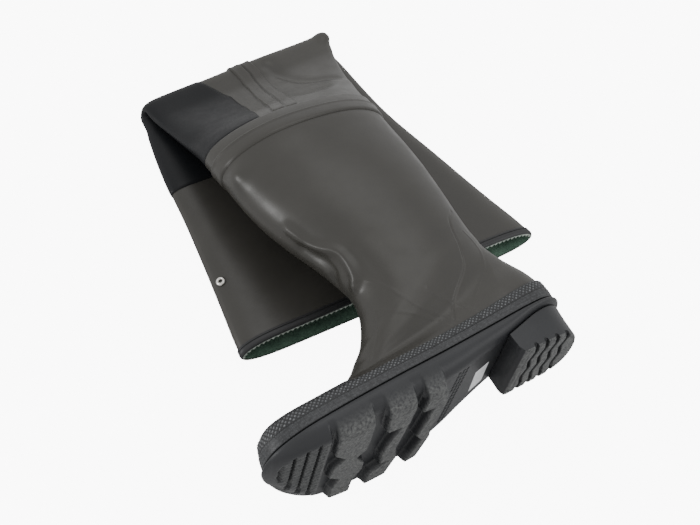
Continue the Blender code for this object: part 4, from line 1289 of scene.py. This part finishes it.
def metal(name):
    """Bright metal, a little cloudy from handling."""
    material, tree, shader = start_material(name, 0.3, Metallic=1.0)
    clouds = add_group(tree, CLOUDY, Scale=300.0, Low=0.35, High=0.7)
    tree.links.new(mixed_color(tree, clouds.outputs["Mask"], (0.55, 0.53, 0.49), (0.82, 0.81, 0.78)),
                   shader.inputs["Base Color"])
    tree.links.new(mixed_value(tree, clouds.outputs["Mask"], 0.38, 0.2), shader.inputs["Roughness"])
    fine = add_group(tree, GRAIN, Scale=900.0, Strength=0.2, Depth=0.0002)
    tree.links.new(fine.outputs["Normal"], shader.inputs["Normal"])
    return material


def film(name):
    """Blank white film."""
    material, tree, shader = start_material(name, 0.35)
    clouds = add_group(tree, CLOUDY, Scale=120.0, Low=0.3, High=0.7)
    tree.links.new(mixed_color(tree, clouds.outputs["Mask"], (0.74, 0.75, 0.76), (0.86, 0.87, 0.88)),
                   shader.inputs["Base Color"])
    fine = add_group(tree, GRAIN, Scale=500.0, Strength=0.15, Depth=0.0002)
    tree.links.new(fine.outputs["Normal"], shader.inputs["Normal"])
    return material


bright_metal = metal("eyelet metal")
white_film = film("white film")


def build_eyelet():
    """Rolled ring lying on the thigh's outer skin."""
    v = v_at_y(EYELET_Y, V_THIGH, V_COLLAR)
    u = u_at_x(v, EYELET_X, inner_side=False)
    base = grid([u], [v])[0, 0]
    normal = grid_normals([u], [v])[0, 0]
    along = grid([u], [v + 0.05])[0, 0] - grid([u], [v - 0.05])[0, 0]
    along -= normal * (along @ normal)
    along /= np.linalg.norm(along)
    angle = np.linspace(0, 2 * np.pi, EYELET_COLUMNS, endpoint=False)
    around = along * np.cos(angle)[:, None] + np.cross(normal, along) * np.sin(angle)[:, None]
    loops = [base + around * radius + normal * (height + GLUE) for radius, height in EYELET_PROFILE]
    quads = rows_quads(len(loops), EYELET_COLUMNS, closed_rows=True)
    return new_piece("rolled_eyelet", loops, quads[:, ::-1], (bright_metal,), sharp=60)


def build_label():
    """Blank film that follows the waist between its four corners."""
    a, b, c, d = [np.array(corner, dtype=float) for corner in LABEL_CORNERS]
    s, t = np.meshgrid(np.linspace(0, 1, 24), np.linspace(0, 1, 40), indexing="ij")
    s, t = s[..., None], t[..., None]
    flat = (a * (1 - s) + b * s) * (1 - t) + (d * (1 - s) + c * s) * t
    x, z = flat[..., 0], flat[..., 1]
    y = sole_height(x, z, rim_distance(x, z))[0]
    raised = 0.1 + LABEL_THICK * rounded(24, 1.0)[:, None] * rounded(40, 1.0)[None, :]
    outer = np.stack([x, y - raised, z], axis=-1)
    inner = np.stack([x, y + 0.1, z], axis=-1)
    return sheet_piece("blank_label", outer, inner, (white_film,))


eyelet = build_eyelet()
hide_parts("eyelet")
label = build_label()
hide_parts("label")
insole = bpy.data.objects["insole"]
insole.data.materials.clear()
insole.data.materials.append(lining)
print("eyelet", len(eyelet.data.polygons), "faces; label", len(label.data.polygons), "faces")

# %% [markdown]
# ## Face directions
# A closed piece needs all its faces to look outward, or its shading and its exported mesh turn
# inside out.  It is surer to let the mesh tools settle that once than to order every grid by hand.


# %% Face directions
def turn_outward(obj):
    """Makes a piece's faces agree and point out."""
    bm = bmesh.new()
    bm.from_mesh(obj.data)
    bmesh.ops.recalc_face_normals(bm, faces=bm.faces)
    bm.to_mesh(obj.data)
    bm.free()


for obj in (boot, thigh, foxing, band, knee_patch, side_tape, toe_cap, binding, eyelet, label, outsole, heel):
    turn_outward(obj)
print("faces turned")

# %% [markdown]
# ## Floor, light and camera
# The photograph is a bright product shot on a white ground.  Bright air all round gives the wide
# pale sheen of the rubber.  One small light low at the left gives the bright line along the ankle's
# fold and the spot on the calf, because several lights would draw several lines.  The camera keeps
# the photo's angle: its place and turn come from matching the sole, the heel and the fold at their
# real sizes.

# %% Floor
FLOOR_REACH = 6.0
FLOOR_GLOW_SEEN = 9.0
FLOOR_GLOW_CAST = 0.15


def stage_floor():
    """Plain floor that the camera sees white, while it lights the rubber only a little."""
    mesh = bpy.data.meshes.new("studio_floor")
    corners = [(x * FLOOR_REACH, y * FLOOR_REACH, 0.0) for x, y in ((-1, -1), (1, -1), (1, 1), (-1, 1))]
    mesh.from_pydata(corners, [], [(0, 1, 2, 3)])
    floor = bpy.data.objects.new("studio_floor", mesh)
    bpy.context.scene.collection.objects.link(floor)
    material, tree, shader = start_material("pale floor", 0.9)
    shader.inputs["Base Color"].default_value = (0.5, 0.5, 0.5, 1.0)
    shader.inputs["Emission Color"].default_value = (1.0, 1.0, 1.0, 1.0)
    path = tree.nodes.new("ShaderNodeLightPath")
    glow = mixed_value(tree, path.outputs["Is Camera Ray"], FLOOR_GLOW_CAST, FLOOR_GLOW_SEEN)
    tree.links.new(glow, shader.inputs["Emission Strength"])
    mesh.materials.append(material)
    return floor


print("floor", stage_floor().name)


# %% Lights
def soft_light(name, place, target, size, power, shade=(1, 1, 1)):
    """Broad light that looks at a target."""
    data = bpy.data.lights.new(name, "AREA")
    data.shape = "RECTANGLE"
    data.size, data.size_y = size
    data.energy = power
    data.color = shade
    lamp = bpy.data.objects.new(name, data)
    bpy.context.scene.collection.objects.link(lamp)
    direction = Vector(target) - Vector(place)
    lamp.rotation_mode = "QUATERNION"
    lamp.rotation_quaternion = direction.to_track_quat("-Z", "Y")
    lamp.location = place


soft_light("key", (-1.4, 0.35, 0.4), (0, 0, 0.05), (0.5, 0.4), 7.5)
soft_light("top", (0.4, 0.6, 1.8), (0, 0, 0.05), (1.4, 1.2), 6.0)
soft_light("right", (1.2, -0.8, 1.0), (0, -0.1, 0.05), (0.9, 0.7), 4.0, (0.99, 0.99, 1.0))
world = bpy.data.worlds.new("studio air")
world.use_nodes = True
air = world.node_tree.nodes["Background"]
air.inputs["Color"].default_value = (1.0, 1.0, 1.0, 1.0)
air.inputs["Strength"].default_value = 1.05
bpy.context.scene.world = world
print("lights", len(bpy.data.lights))

# %% Camera
VIEW_RIGHT = (0.844146, -0.511233, 0.161426)
VIEW_DOWN = (-0.339447, -0.742737, -0.577163)
VIEW_FORWARD = (0.414962, 0.432414, -0.800515)
VIEW_PLACE = (-488.330, -556.177, 976.987)
camera_data = bpy.data.cameras.new("photo view")
camera_data.sensor_fit = "HORIZONTAL"
camera_data.sensor_width = 36.0
camera_data.lens = 63.72
camera_data.clip_end = 20.0
camera_data.dof.use_dof = False
camera = bpy.data.objects.new("photo view", camera_data)
turn = Matrix((VIEW_RIGHT, [-c for c in VIEW_DOWN], [-c for c in VIEW_FORWARD])).transposed().to_4x4()
camera.matrix_world = Matrix.Translation(Vector(VIEW_PLACE) * MM) @ turn
bpy.context.scene.collection.objects.link(camera)
bpy.context.scene.camera = camera
print("camera", [round(c, 3) for c in camera.location])
